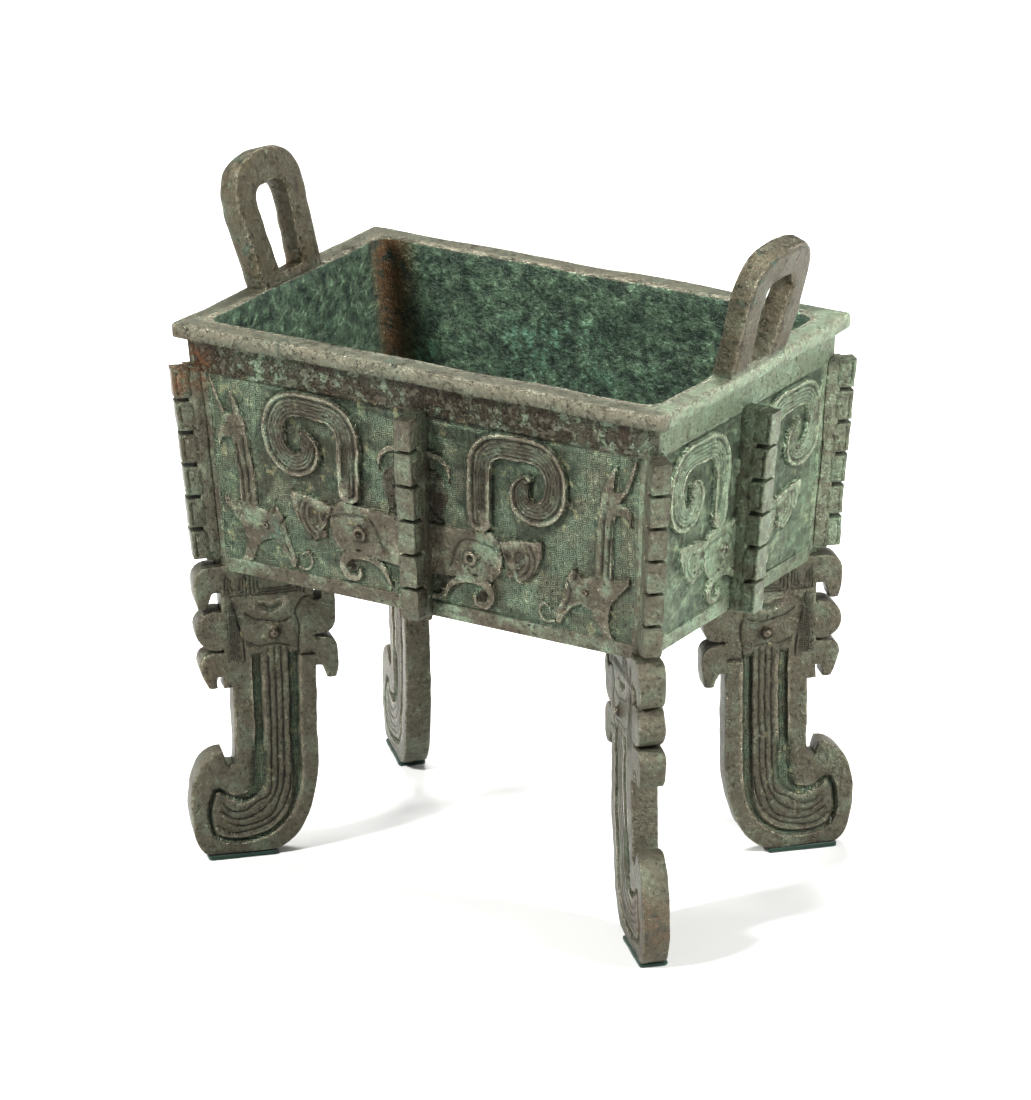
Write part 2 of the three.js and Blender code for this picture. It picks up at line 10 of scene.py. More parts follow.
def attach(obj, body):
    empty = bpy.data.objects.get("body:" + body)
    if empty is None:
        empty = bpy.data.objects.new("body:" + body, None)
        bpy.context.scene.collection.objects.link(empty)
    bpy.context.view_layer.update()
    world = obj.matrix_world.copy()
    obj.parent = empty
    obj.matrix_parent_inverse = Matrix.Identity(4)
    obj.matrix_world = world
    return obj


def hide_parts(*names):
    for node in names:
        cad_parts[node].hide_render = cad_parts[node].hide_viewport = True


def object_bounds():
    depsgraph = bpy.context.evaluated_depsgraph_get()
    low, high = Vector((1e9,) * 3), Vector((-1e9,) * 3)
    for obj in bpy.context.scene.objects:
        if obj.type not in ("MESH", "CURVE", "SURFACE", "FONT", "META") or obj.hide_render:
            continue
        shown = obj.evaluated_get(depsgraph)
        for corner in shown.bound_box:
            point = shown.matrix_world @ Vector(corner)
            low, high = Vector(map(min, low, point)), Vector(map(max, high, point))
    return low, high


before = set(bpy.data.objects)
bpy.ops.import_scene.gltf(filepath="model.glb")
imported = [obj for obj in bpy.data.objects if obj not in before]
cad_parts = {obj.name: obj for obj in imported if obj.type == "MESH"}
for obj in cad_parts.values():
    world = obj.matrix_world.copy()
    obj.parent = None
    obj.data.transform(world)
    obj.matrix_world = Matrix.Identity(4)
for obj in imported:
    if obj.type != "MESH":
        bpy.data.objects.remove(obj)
cadLow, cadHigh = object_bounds()

# Sizes are in millimetres and become metres when a mesh is made.
vessel = {
    "rimHalf": (100, 63.7), "rimTop": 201.5, "rimSoftness": 0.9,
    "topHalf": (96, 59.7), "baseHalf": (89.3, 58.0), "baseHeight": 110.6, "wallTop": 196,
    "wallThickness": 5.5, "cavityCorner": 6, "cavityFloorCurve": 4, "floorThickness": 5.5,
    "unevenness": 0.3, "swayBroad": 38, "swayFine": 9,
}
wallHeight = vessel["wallTop"] - vessel["baseHeight"]


def smooth(t):
    t = np.clip(t, 0, 1)
    return t * t * (3 - 2 * t)


# A smooth line through knots, as rows of points. Any numbers after a knot's place run along with it.
def spline(knots, steps=8):
    knots = np.array(knots, float)
    ends = np.vstack([2 * knots[0] - knots[1], knots, 2 * knots[-1] - knots[-2]])
    rows = []
    for i in range(len(knots) - 1):
        a, b, c, d = ends[i:i + 4]
        for k in range(steps):
            t = k / steps
            rows.append(0.5 * (2 * b + (c - a) * t + (2 * a - 5 * b + 4 * c - d) * t ** 2 + (3 * b - a - 3
                * c + d) * t ** 3))
    rows.append(knots[-1])
    return np.array(rows)


# For every sample: the distance to a line, the side of the line it lies on (1 is the left), and how far
# along the line its nearest point is, from 0 to 1.
def trace(u, v, line):
    away = np.full(u.shape, 1e9)
    side = np.ones(u.shape)
    along = np.zeros(u.shape)
    steps = np.diff(line[:, :2], axis=0)
    lengths = np.maximum(np.hypot(steps[:, 0], steps[:, 1]), 1e-9)
    reached = np.concatenate([[0], np.cumsum(lengths)])
    for i, (du, dv) in enumerate(steps):
        fromU, fromV = u - line[i, 0], v - line[i, 1]
        t = np.clip((fromU * du + fromV * dv) / lengths[i] ** 2, 0, 1)
        distance = np.hypot(fromU - t * du, fromV - t * dv)
        near = distance < away
        away[near] = distance[near]
        side[near] = np.where(du * fromV - dv * fromU > 0, 1, -1)[near]
        along[near] = ((reached[i] + t * lengths[i]) / reached[-1])[near]
    return away, side, along


# Whether samples lie inside a closed outline.
def inside(u, v, outline):
    hit = np.zeros(u.shape, bool)
    for (u0, v0), (u1, v1) in zip(outline, np.roll(outline, -1, axis=0)):
        if v0 == v1:
            continue
        crosses = (v0 > v) != (v1 > v)
        hit ^= crosses & (u < (u1 - u0) * (v - v0) / (v1 - v0) + u0)
    return hit


bossMark = 1.6  # what "raised" says on a boss, where other raised work has 1


# Relief over a flat face. Height is measured from the face, "raised" marks what stands up from it, "cut"
# marks engraved lines and "figured" marks where the fine square spirals go.
class Relief:
    def __init__(self, u, v):
        self.u, self.v = u, v
        self.height = np.zeros(u.shape)
        self.raised = np.zeros(u.shape)
        self.cut = np.zeros(u.shape)
        self.figured = np.ones(u.shape)
        self.guides = []

    # Notes a line that the mesh has to follow, with rows of points beside it.
    def guide(self, line, *offsets):
        self.guides.append((line, offsets))

    def lift(self, cover, level, figured=0.0):
        self.height = np.where(cover > 0, np.maximum(self.height, cover * level), self.height)
        self.raised = np.maximum(self.raised, cover)
        self.figured = self.figured * (1 - cover) + figured * cover

    def engrave(self, cover, depth, cut=1.0):
        self.height -= cover * depth
        self.cut = np.maximum(self.cut, cover * cut)

    def band(self, knots, level, edge=0.5, ridges=None, figured=0.0):
        line = spline(knots)
        away, side, along = trace(self.u, self.v, line)
        steps = np.hypot(*np.diff(line[:, :2], axis=0).T)
        reached = np.concatenate([[0], np.cumsum(steps)]) / steps.sum()
        half = np.interp(along, reached, line[:, 2]) / 2
        cover = smooth((half - away) / edge)
        self.lift(cover, level, figured)
        if ridges:
            ridges(self, away * side / np.maximum(half, 0.1), along, cover)

    def groove(self, knots, width, depth, curved=True):
        line = spline(knots) if curved else np.array(knots, float)
        away, _, _ = trace(self.u, self.v, line)
        self.guide(line, -0.75 * width, 0, 0.75 * width)
        self.engrave(np.exp(-(away / (width / 2)) ** 2), depth)

    # Cover that fills a closed outline and fades over a soft edge inside it.
    def filled(self, outline, edge):
        away, _, _ = trace(self.u, self.v, np.vstack([outline, outline[:1]]))
        return smooth(np.where(inside(self.u, self.v, outline), away, -away) / edge)

    def plate(self, outline, level, edge=0.5, figured=0.0):
        self.lift(self.filled(np.array(outline, float), edge), level, figured)

    def sink(self, outline, depth, edge=0.5):
        outline = np.array(outline, float)
        self.guide(np.vstack([outline, outline[:1]]), 0, 0.5)
        cover = self.filled(outline, edge)
        self.engrave(cover, depth, 0.6)
        self.figured = self.figured * (1 - cover)

    def dome(self, u, v, radius, level, pit=0.0, pitDepth=0.8):
        turn = np.linspace(0, 2 * math.pi, 25)
        circle = np.stack([u + radius * np.cos(turn), v + radius * np.sin(turn)], -1)
        self.guide(circle, 0, 0.25 * radius, 0.5 * radius, 0.8 * radius)
        away = np.hypot(self.u - u, self.v - v) / radius
        cover = smooth((1 - away) * 2.2)
        self.lift(cover, level * np.sqrt(np.clip(1 - (away * 0.8) ** 2, 0, 1)))
        self.raised = np.maximum(self.raised, bossMark * cover)
        if pit:
            self.engrave(np.exp(-(away * radius / pit) ** 4), pitDepth)


# The carved walls. Places on a wall are measured across from its middle and down from its top.
carving = {
    "spacing": 0.5, "neckHeight": 12, "baseBand": 5, "panelMargin": 6, "panelDepth": 0.5,
    "maskShift": -2.7, "shortShift": -11, "maskHeight": 1.9, "cheekHeight": 1.1, "dragonHeight": 0.95,
    "lineDepth": 0.5, "edge": 0.5, "slabDepth": 2, "share": 0.225, "hollowReach": 1.1,
}

# A horn's middle line from its foot to the end of its coil, with its width.
hornKnots = [
    [26.9, -45.6, 9.6], [26.9, -36, 9.8], [27.1, -27, 10.2], [28.8, -21, 10], [33.6, -17.6, 9.8],
    [40, -17, 9.6], [48, -17, 9.6], [53.6, -18.8, 9.6], [57, -23.2, 9.6], [58, -29.4, 9.6],
    [56.6, -35.2, 9.6], [53, -39, 9.4], [48.4, -40, 9.2], [44.4, -38, 9], [42.9, -34.6, 8.6],
    [43.4, -31.4, 7.6], [45.2, -28.6, 5.4], [47.4, -27.4, 2.2],
]


# Lines along a horn: one deep groove inside its outer ridge, then finer ones, and a figured slot in its arm.
def hornRidges(relief, across, along, cover):
    arm = 1 - smooth((along - 0.17) / 0.06)
    coil = 1 - arm
    depth = carving["lineDepth"]

    def lineAt(place, width=0.085):
        return np.exp(-((across - place) / width) ** 2)

    lines = 1.6 * lineAt(0.46, 0.1) + lineAt(0.14) + coil * (lineAt(-0.14) + lineAt(-0.42) + lineAt(-0.7))
    slot = arm * smooth((0.3 - np.abs(across + 0.28)) / 0.08) * smooth((along - 0.02) / 0.03)
    relief.height -= cover * depth * (lines + 0.9 * slot)
    relief.cut = np.maximum(relief.cut, np.clip(cover * (lines + 0.4 * slot), 0, 1))
    relief.figured = np.maximum(relief.figured, slot)


def mask(relief, shift, isLong):
    def moved(points):
        return [[p[0] + shift, *p[1:]] for p in points]

    depth = carving["lineDepth"]
    relief.band(moved(hornKnots), carving["maskHeight"], ridges=hornRidges)
    relief.groove(moved([[46.8, -29.4], [47.2, -32], [47, -35.4]]), 1.6, 0.8)
    cheek = [[2, -50.6], [20, -50.2], [31, -49.6], [34.5, -52.6], [36, -58], [35, -64], [31, -68.4],
        [24, -66.8], [14, -69.4], [2, -70]]
    relief.plate(moved(cheek), carving["cheekHeight"])
    relief.groove(moved([[34.5, -56], [28, -54.6], [20, -54.4], [16.5, -58], [15, -62], [13, -66]]),
        0.8, depth)
    relief.dome(22.6 + shift, -60.4, 4.2, 2.7, pit=1.1, pitDepth=1.4)
    # the ear with its lobes
    ear = [[34, -52.5], [40, -50.8], [52.3, -49.4], [51.6, -55], [49.3, -61], [46, -65], [42.6, -67.2],
        [40.4, -65.6], [38.8, -62.8], [36.4, -59.6]]
    relief.plate(moved(ear), 1.3)
    for radius in (5.4, 7.6, 9.6):
        angles = np.linspace(-1.15, 0.62, 9)
        arc = [[39 + radius * math.cos(a), -57.6 + 0.96 * radius * math.sin(a)] for a in angles]
        relief.groove(moved(arc), 0.8, depth)
    relief.sink(moved([[40.6, -55.4], [43.2, -54.2], [44, -58], [42.4, -61.4], [40.4, -60.4]]), 0.7)
    relief.dome(37.8 + shift, -56.8, 2.5, 1.9, pit=0.9, pitDepth=0.3)
    relief.dome(38.6 + shift, -63.4, 2.3, 1.6)
    # the nostril's curl
    relief.band(moved([[11, -77, 2.2], [13.8, -71.6, 2.8], [20, -68.8, 3.4], [27.6, -69.2, 4.2],
        [30.6, -73, 3.8], [28.6, -77, 3.4], [24.6, -76.9, 2.8], [23.6, -74, 2]]), 1.3)
    relief.dome(27 + shift, -73.4, 2.6, 0.9, pit=1.5, pitDepth=0.9)
    # the brow between the horns, its hook and the curls at the fin's foot
    brow = [[2, -31], [8.5, -31.4], [12.6, -35], [14, -41], [11.8, -46.8], [9.8, -50.5], [2, -50.5]]
    relief.plate(moved(brow), 0.75, figured=1.0)
    relief.band(moved([[2, -26, 3.2], [9, -26.2, 3], [13.2, -28.6, 2.8], [14.4, -31.6, 2],
        [14.2, -35, 0.9]]), 1.1)
    relief.groove(moved([[5.6, -44.6], [8.4, -47.6], [11.4, -50.4]]), 0.9, 0.7)
    if isLong:
        relief.band([[2, -78, 3], [6, -77.6, 2.8], [8.4, -75.2, 2.2], [6.6, -73.8, 1.2]], 1.1)
        relief.band([[52.6, -78.2, 1.6], [49, -78.4, 1.8], [46.8, -75, 2], [48.6, -71.8, 2],
            [51.6, -73.8, 0.8]], 0.7)


def dragon(relief):
    depth = carving["lineDepth"]
    body = [[72.6, -27.6], [76, -20.4], [78.6, -16], [80, -16.4], [79, -21], [78, -25.4], [81, -25.6],
        [83.6, -20], [86.6, -12.6], [88, -12.4], [86.8, -18], [84.2, -25], [80.6, -29.6], [83.6, -30.2],
        [85.2, -33.4], [84.8, -38.4], [83.6, -38], [82.6, -35], [79, -34.4], [77.6, -40], [77, -50],
        [76.8, -57.6], [80.4, -57.4], [83.8, -55.2], [83.2, -59], [79.4, -63], [75.9, -67], [74.6, -72.4],
        [75.4, -77], [77.2, -80.2], [72, -80.2], [70.2, -76], [67.6, -71.4], [63.6, -69.8], [60.4, -71.6],
        [57.4, -75.4], [55.2, -79.2], [53.4, -78.8], [53, -75.4], [55, -70.6], [57.2, -65.6], [58, -60.4],
        [60.6, -56.6], [62.8, -57.2], [64.4, -59.2], [69.2, -58], [69.8, -48], [71, -38]]
    relief.plate(body, carving["dragonHeight"])
    for line in ([[74.2, -34], [73.2, -44], [72.4, -57.4]], [[77.2, -36.4], [75.6, -46], [75, -57.2]]):
        relief.groove(line, 0.9, depth * 1.3)
    relief.groove([[61.6, -55.4], [62.2, -59.6]], 1.2, 0.8)
    relief.groove([[57.6, -60.6], [60, -64], [59, -69], [56.4, -74]], 0.7, depth)
    relief.dome(65.6, -64.6, 2.0, 2.1, pit=0.7, pitDepth=0.4)


# How far samples lie below their surroundings, in millimetres. Edges that stand proud come out negative.
# The material paints shade and grime in the hollows from this, and highlights with wear on the proud edges.
def hollowOf(drawn, u, v):
    own = drawn(u, v).height
    around = np.zeros(u.shape)
    for angle in np.linspace(0, 2 * math.pi, 7)[:-1]:
        reach = carving["hollowReach"]
        around += drawn(u + reach * math.cos(angle), v + reach * math.sin(angle)).height / 6
    return around - own


def wallHalf(v):
    t = 1 + v / wallHeight
    return [b + (a - b) * t for a, b in zip(vessel["topHalf"], vessel["baseHalf"])]


def wallRelief(u, v, isLong):
    half = wallHalf(v)[0 if isLong else 1]
    relief = Relief(u, v)
    for side in (1, -1):
        facing = Relief(u * side, v)
        shift = carving["maskShift"] * side if isLong else carving["shortShift"]
        mask(facing, shift, isLong)
        if isLong:
            dragon(facing)
        own = u * side >= 0
        for name in ("height", "raised", "cut", "figured"):
            getattr(relief, name)[own] = getattr(facing, name)[own]
    # plain bands above and below, and the narrow strips beside the corners
    edge = carving["edge"]
    fromCorner = half - np.abs(u)
    inner = smooth((fromCorner - carving["panelMargin"]) / edge)
    inner *= smooth((-carving["neckHeight"] - v) / edge)
    inner *= smooth((v + wallHeight - carving["baseBand"]) / edge)
    relief.height = relief.height * inner - carving["panelDepth"] * inner
    relief.figured = relief.figured * inner
    relief.raised = np.maximum(relief.raised * inner, 1 - inner)
    relief.cut = relief.cut * inner
    neck = np.exp(-((v + carving["neckHeight"] - 1.2) / 0.35) ** 2) * 0.2
    strip = np.exp(-((3 - fromCorner) / 0.45) ** 2) * smooth((-20 - v) / 5) * 0.35
    relief.height -= neck + strip
    relief.cut = np.maximum(relief.cut, 2 * strip)
    return relief


# Meshes are gathered as dictionaries of arrays: points, triangles and the values that the material reads.
# Zone 1 is a leg, 2 the cavity, 3 a fin and 0 the rest.
def sheetOf(points, triangles, uv=None, zone=0.0):
    count = len(points)
    sheet = {key: np.zeros(count) for key in ("raised", "cut", "figured", "hollow", "zone")}
    sheet["raised"] += 0.6
    sheet["zone"] += zone
    sheet["uv"] = np.zeros((count, 2)) if uv is None else uv
    sheet["points"], sheet["triangles"] = np.asarray(points, float), np.asarray(triangles, int)
    return sheet


def placed(sheet, matrix):
    turn = np.array(matrix.to_3x3())
    points = sheet["points"] @ turn.T + np.array(matrix.translation)
    triangles = sheet["triangles"]
    if matrix.determinant() < 0:
        triangles = triangles[:, ::-1]
    return {**sheet, "points": points, "triangles": triangles}


def joined(sheets):
    starts = np.cumsum([0] + [len(s["points"]) for s in sheets[:-1]])
    whole = {key: np.concatenate([s[key] for s in sheets]) for key in sheets[0] if key != "triangles"}
    whole["triangles"] = np.vstack([s["triangles"] + start for s, start in zip(sheets, starts)])
    return whole


# A smooth random sway for every point, the same on each run.
def sway(points, size, seed):
    generator = np.random.default_rng(seed)
    total = np.zeros(points.shape)
    for _ in range(14):
        wave = generator.normal(size=3)
        wave *= 2 * math.pi / size / np.linalg.norm(wave) * generator.uniform(0.6, 1.5)
        push = generator.normal(size=3) / 4.5
        total += np.sin(points @ wave + generator.uniform(0, 2 * math.pi))[:, None] * push
    return total


def meshOf(name, points, faces):
    mesh = bpy.data.meshes.new(name)
    mesh.from_pydata([tuple(p) for p in points], [], [tuple(int(i) for i in f) for f in faces])
    mesh.update()
    return mesh


def linked(name, data):
    made = bpy.data.objects.new(name, data)
    bpy.context.scene.collection.objects.link(made)
    return made


def evaluatedMesh(made):
    return bpy.data.meshes.new_from_object(made.evaluated_get(bpy.context.evaluated_depsgraph_get()))


def triangulated(faces):
    return [(f[0], f[i], f[i + 1]) for f in faces for i in range(1, len(f) - 1)]


# A face's grid of samples, thinned where it is flat.
def thinnedSurface(points, faces, share):
    made = linked("surface", meshOf("surface", points, faces))
    made.modifiers.new("thin", "DECIMATE").ratio = share
    result = evaluatedMesh(made)
    result.calc_loop_triangles()
    points = np.array([v.co for v in result.vertices])
    triangles = np.array([t.vertices for t in result.loop_triangles])
    bpy.data.objects.remove(made)
    return points, triangles


# The border of an open surface as loops of point numbers, with the surface on the left.
def borderLoops(triangles):
    edges = np.vstack([triangles[:, [0, 1]], triangles[:, [1, 2]], triangles[:, [2, 0]]])
    known = {tuple(e) for e in edges.tolist()}
    after = {a: b for a, b in known if (b, a) not in known}
    loops = []
    while after:
        start, here = after.popitem()
        loop = [start]
        while here != start:
            loop.append(here)
            here = after.pop(here)
        loops.append(loop)
    return loops


def wall(isLong):
    spacing = carving["spacing"]
    topHalf = vessel["topHalf"][0 if isLong else 1]
    columns = int(2 * topHalf / spacing)
    rows = int(wallHeight / spacing)
    v = np.repeat(-wallHeight + (wallHeight + 0.4) * np.linspace(0, 1, rows + 1), columns + 1)
    half = np.array(wallHalf(v)[0 if isLong else 1])
    u = np.tile(np.linspace(-1, 1, columns + 1), rows + 1) * half
    relief = wallRelief(u, v, isLong)
    grid = np.arange((rows + 1) * (columns + 1)).reshape(rows + 1, columns + 1)
    quads = np.stack([grid[:-1, :-1], grid[:-1, 1:], grid[1:, 1:], grid[1:, :-1]], -1).reshape(-1, 4)
    points, triangles = thinnedSurface(np.stack([u, v, relief.height], -1), quads, carving["share"])
    relief = wallRelief(points[:, 0], points[:, 1], isLong)
    # a closed slab: the border goes back into the vessel's body
    loop = borderLoops(triangles)[0]
    count = len(points)
    depth = carving["slabDepth"]
    back = points[loop] * [1, 1, 0] - [0, 0, depth]
    ring = np.arange(len(loop)) + count
    sides = [(loop[k - 1], ring[k - 1], ring[k], loop[k]) for k in range(len(loop))]
    middle = count + len(loop)
    caps = [(ring[k], ring[k - 1], middle) for k in range(len(loop))]
    allPoints = np.vstack([points, back, [[0, -wallHeight / 2, -depth]]])
    allTriangles = np.vstack([triangles, triangulated(sides), caps])
    sheet = sheetOf(allPoints, allTriangles, uv=allPoints[:, :2])
    relief.hollow = hollowOf(lambda across, up: wallRelief(across, up, isLong), points[:, 0], points[:, 1])
    for key in ("raised", "cut", "figured", "hollow"):
        sheet[key] = np.concatenate([getattr(relief, key), np.zeros(len(loop) + 1)])
    return sheet


# The matrix that carries a flat drawing to its place, from where its axes and its origin go.
def carried(right, up, outward, origin):
    turn = Matrix((right, up, outward)).transposed().to_4x4()
    turn.translation = Vector(origin)
    return turn


# A wall's slope, the middle of its top and its turn. Walls are counted round from the front.
def wallPlace(index):
    out, foot = (vessel[key][1 - index % 2] for key in ("topHalf", "baseHalf"))
    up = Vector((0, foot - out, wallHeight))
    return up, Vector((0, -out, vessel["wallTop"])), Matrix.Rotation(index * math.pi / 2, 4, "Z")


def wallFrame(index):
    up, origin, turn = wallPlace(index)
    across = Vector((1, 0, 0))
    up.normalize()
    return turn @ carried(across, up, across.cross(up), origin)


# Plates: legs, ears and fins. A plate fills the union of some outlines less its holes, has both faces alike
# and soft edges.
def insideAll(places, outlines, holes):
    u, v = places[:, 0], places[:, 1]
    found = np.zeros(u.shape, bool)
    for outline in outlines:
        found |= inside(u, v, np.array(outline))
    for hole in holes:
        found &= ~inside(u, v, np.array(hole))
    return found


def fill(points, edges, outlines, holes):
    found = delaunay_2d_cdt([Vector(p) for p in points], edges, [], 0, 1e-5)
    points = np.array([tuple(p) for p in found[0]])
    triangles = np.array([tuple(f) for f in found[2]])
    middle = points[triangles].mean(axis=1)
    return points, triangles[insideAll(middle, outlines, holes)]


def chained(loops):
    points = np.vstack(loops)
    edges = []
    start = 0
    for loop in loops:
        edges += [(start + k, start + (k + 1) % len(loop)) for k in range(len(loop))]
        start += len(loop)
    return points, edges


def resampled(loop, spacing):
    rows = []
    for a, b in zip(loop, np.roll(loop, -1, axis=0)):
        count = max(1, round(float(np.hypot(*(b - a))) / spacing))
        rows += [a + (b - a) * k / count for k in range(count)]
    return np.array(rows)


# Points along a guide line, in rows at its offsets.
def guideRows(line, offsets, spacing):
    steps = np.hypot(*np.diff(line[:, :2], axis=0).T)
    reached = np.concatenate([[0], np.cumsum(steps)])
    at = np.linspace(0, reached[-1], max(2, round(reached[-1] / spacing)))
    points = np.stack([np.interp(at, reached, line[:, k]) for k in (0, 1)], -1)
    along = np.gradient(points, axis=0)
    normal = np.stack([-along[:, 1], along[:, 0]], -1) / np.maximum(np.hypot(*along.T), 1e-6)[:, None]
    return np.vstack([points + offset * normal for offset in offsets])


# Drops the points that come closer than a distance to a point that is kept.
def spaced(points, distance):
    cells = {}
    kept = []
    for p in points:
        key = (int(p[0] // distance), int(p[1] // distance))
        near = (q for i in (-1, 0, 1) for j in (-1, 0, 1) for q in cells.get((key[0] + i, key[1] + j), ()))
        if all((p[0] - q[0]) ** 2 + (p[1] - q[1]) ** 2 > distance ** 2 for q in near):
            kept.append(p)
            cells.setdefault(key, []).append(p)
    return np.array(kept)


def plate(outlines, holes, half, softness, spacing, carve=None, zone=0.0):
    points, edges = chained([np.array(o, float) for o in outlines + holes])
    points, triangles = fill(points, edges, outlines, holes)
    loops = [resampled(points[loop], spacing) for loop in borderLoops(triangles)]
    border, edges = chained(loops)
    closed = [np.vstack([loop, loop[:1]]) for loop in loops]

    def distance(places):
        return np.min([trace(places[:, 0], places[:, 1], loop)[0] for loop in closed], axis=0)

    # rows of points that follow the edge, then an even field
    rows = []
    for inset in (0.3 * softness, softness):
        for loop in loops:
            along = np.roll(loop, -1, axis=0) - np.roll(loop, 1, axis=0)
            normal = np.stack([-along[:, 1], along[:, 0]], -1) / np.hypot(*along.T)[:, None]
            row = loop + inset * normal
            rows.append(row[np.abs(distance(row) - inset) < 0.12 * inset])
    low, high = border.min(axis=0), border.max(axis=0)
    across, up = np.meshgrid(np.arange(low[0], high[0], spacing), np.arange(low[1], high[1], spacing * 0.87))
    across[::2] += spacing / 2
    field = np.stack([across.ravel(), up.ravel()], -1)
    field = field[insideAll(field, outlines, holes)]
    field = field[distance(field) > softness + 0.45 * spacing]
    if carve:
        sketch = Relief(np.zeros(1), np.zeros(1))
        carve(sketch)
        guided = np.vstack([guideRows(line, offsets, 1.3) for line, offsets in sketch.guides])
        guided = guided[insideAll(guided, outlines, holes)]
        guided = spaced(guided[distance(guided) > softness + 0.2], 0.28)
        gaps = np.hypot(field[:, None, 0] - guided[None, :, 0], field[:, None, 1] - guided[None, :, 1])
        field = np.vstack([guided, field[gaps.min(axis=1) > 0.6 * spacing]])
    points, triangles = fill(np.vstack([border, *rows, field]), edges, outlines, holes)
    u, v = points[:, 0], points[:, 1]
    away = distance(points)
    drop = softness - np.sqrt(np.maximum(softness ** 2 - np.maximum(softness - away, 0) ** 2, 0))
    relief = Relief(u, v)
    relief.figured[:] = 0
    relief.raised[:] = 0.85
    if carve:
        carve(relief)
    height = half - drop + relief.height * smooth((away - 0.4 * softness) / (0.6 * softness))
    front = np.stack([u, v, height], -1)
    count = len(points)
    sides = [(a, a + count, b + count, b)
        for loop in borderLoops(triangles) for a, b in zip(loop, loop[1:] + loop[:1])]
    allTriangles = np.vstack([triangles, triangles[:, ::-1] + count, triangulated(sides)])
    sheet = sheetOf(np.vstack([front, front * [1, 1, -1]]), allTriangles, np.vstack([points, points]), zone)
    for key in ("raised", "cut", "figured"):
        sheet[key] = np.tile(getattr(relief, key), 2)
    # the edges count as proud, so the material paints wear and highlights along them
    hollow = -0.4 * smooth(away / (0.3 * softness)) * (1 - smooth((away - 0.6 * softness) / 0.7))
    if carve:
        def drawn(across, up):
            carved = Relief(across, up)
            carve(carved)
            return carved

        hollow += hollowOf(drawn, u, v)
    sheet["hollow"] = np.tile(hollow, 2)
    return sheet


def bezier(a, b, c, d, steps=6):
    a, b, c, d = (np.array(p, float) for p in (a, b, c, d))
    return [tuple((1 - t) ** 3 * a + 3 * (1 - t) ** 2 * t * b + 3 * (1 - t) * t ** 2 * c + t ** 3 * d)
        for t in np.linspace(0, 1, steps + 1)[1:]]


def bow(a, b, c, steps=4):
    a, b, c = (np.array(p, float) for p in (a, b, c))
    return [tuple((1 - t) ** 2 * a + 2 * (1 - t) * t * b + t ** 2 * c)
        for t in np.linspace(0, 1, steps + 1)[1:]]


def counterclockwise(outline):
    u, v = np.array(outline).T
    area = np.sum(u * np.roll(v, -1) - v * np.roll(u, -1))
    return outline if area > 0 else outline[::-1]


# Legs. Places on a leg are measured outward from the base's corner and up from the surface.
leg = {
    "thickness": 9.4, "softness": 0.9, "spacing": 1.7, "footBottom": 1.8, "root": 2,
    "shaftInner": -34.6, "shaftOuter": -4.6, "headOuter": -1.4, "headBottom": 65.7, "footInner": -18.5,
    "footOuter": 5.8, "heelHeight": 38, "tailReach": 12.4, "tailHeight": 41.2, "lineDepth": 0.45,
    "bodyLineDepth": 0.42, "channelDepth": 1.35, "stripDepth": 0.3,
}


def shaftOutline():
    top = vessel["baseHeight"] + leg["root"]
    foot, tail = leg["footBottom"], leg["tailHeight"]
    inner, outer, reach = leg["shaftInner"], leg["shaftOuter"], leg["tailReach"]
    heel = leg["heelHeight"]
    points = [(inner, top), (inner, heel)]
    points += bezier((inner, heel), (inner, heel / 2), (-29.6, foot + 2), (leg["footInner"], foot), 12)
    points.append((leg["footOuter"], foot))
    points += bow((leg["footOuter"], foot), (reach - 1.4, foot + 1), (reach, tail * 0.42), 8)
    points += bezier((reach, tail * 0.42), (reach + 0.2, tail * 0.74), (reach - 3.6, tail), (-0.2, tail), 12)
    points += [(-1.6, 36.2), (-4.1, 36.2), (outer, 40.2), (outer, leg["headBottom"])]
    points += [(leg["headOuter"], leg["headBottom"]), (leg["headOuter"], top)]
    return counterclockwise(points)


# A hook springs from an edge at its root, bends round its crown and ends in a tip, with a gap under it. The
# columns are edge, reach, crown, bend, tip, inner and outer side of the tip, gap and root.
hooks = [
    (-1.4, 8.4, 112.4, 7, 95.7, 3.2, 6.6, 3.6, 102), (-1.4, 7.2, 80, 5, 65.6, 0.9, 4, 2.2, 70.5),
    (-34.6, -42.8, 82, 6, 65.6, -38.6, -42, 2.7, 71),
    (-34.6, -42.3, 82.9, 6, 112.6, -37.4, -40.8, 2.6, 96.5),
]


def hookOutline(edge, reach, crown, bend, tip, inner, outer, gap, root):
    out = math.copysign(1, reach - edge)
    way = math.copysign(1, tip - crown)
    seat = edge - out * 3
    gapEdge = edge + out * gap
    points = [(seat, crown), (reach - out * bend, crown)]
    points += bow(points[-1], (reach, crown), (reach, crown + way * bend), 6)
    points += bow(points[-1], ((reach + outer) / 2 + out * 0.8, (crown + way * bend + tip) / 2),
        (outer, tip - way * 0.6), 5)
    points += bow(points[-1], ((outer + inner) / 2, tip), (inner, tip - way * 0.6), 3)
    points += bow(points[-1], ((inner + gapEdge) / 2 + out * 0.3, (tip + root) / 2),
        (gapEdge, root + way * gap / 2), 4)
    points += bow(points[-1], (gapEdge, root), (gapEdge - out * gap / 2, root), 4)
    points.append((seat, root))
    return counterclockwise(points)


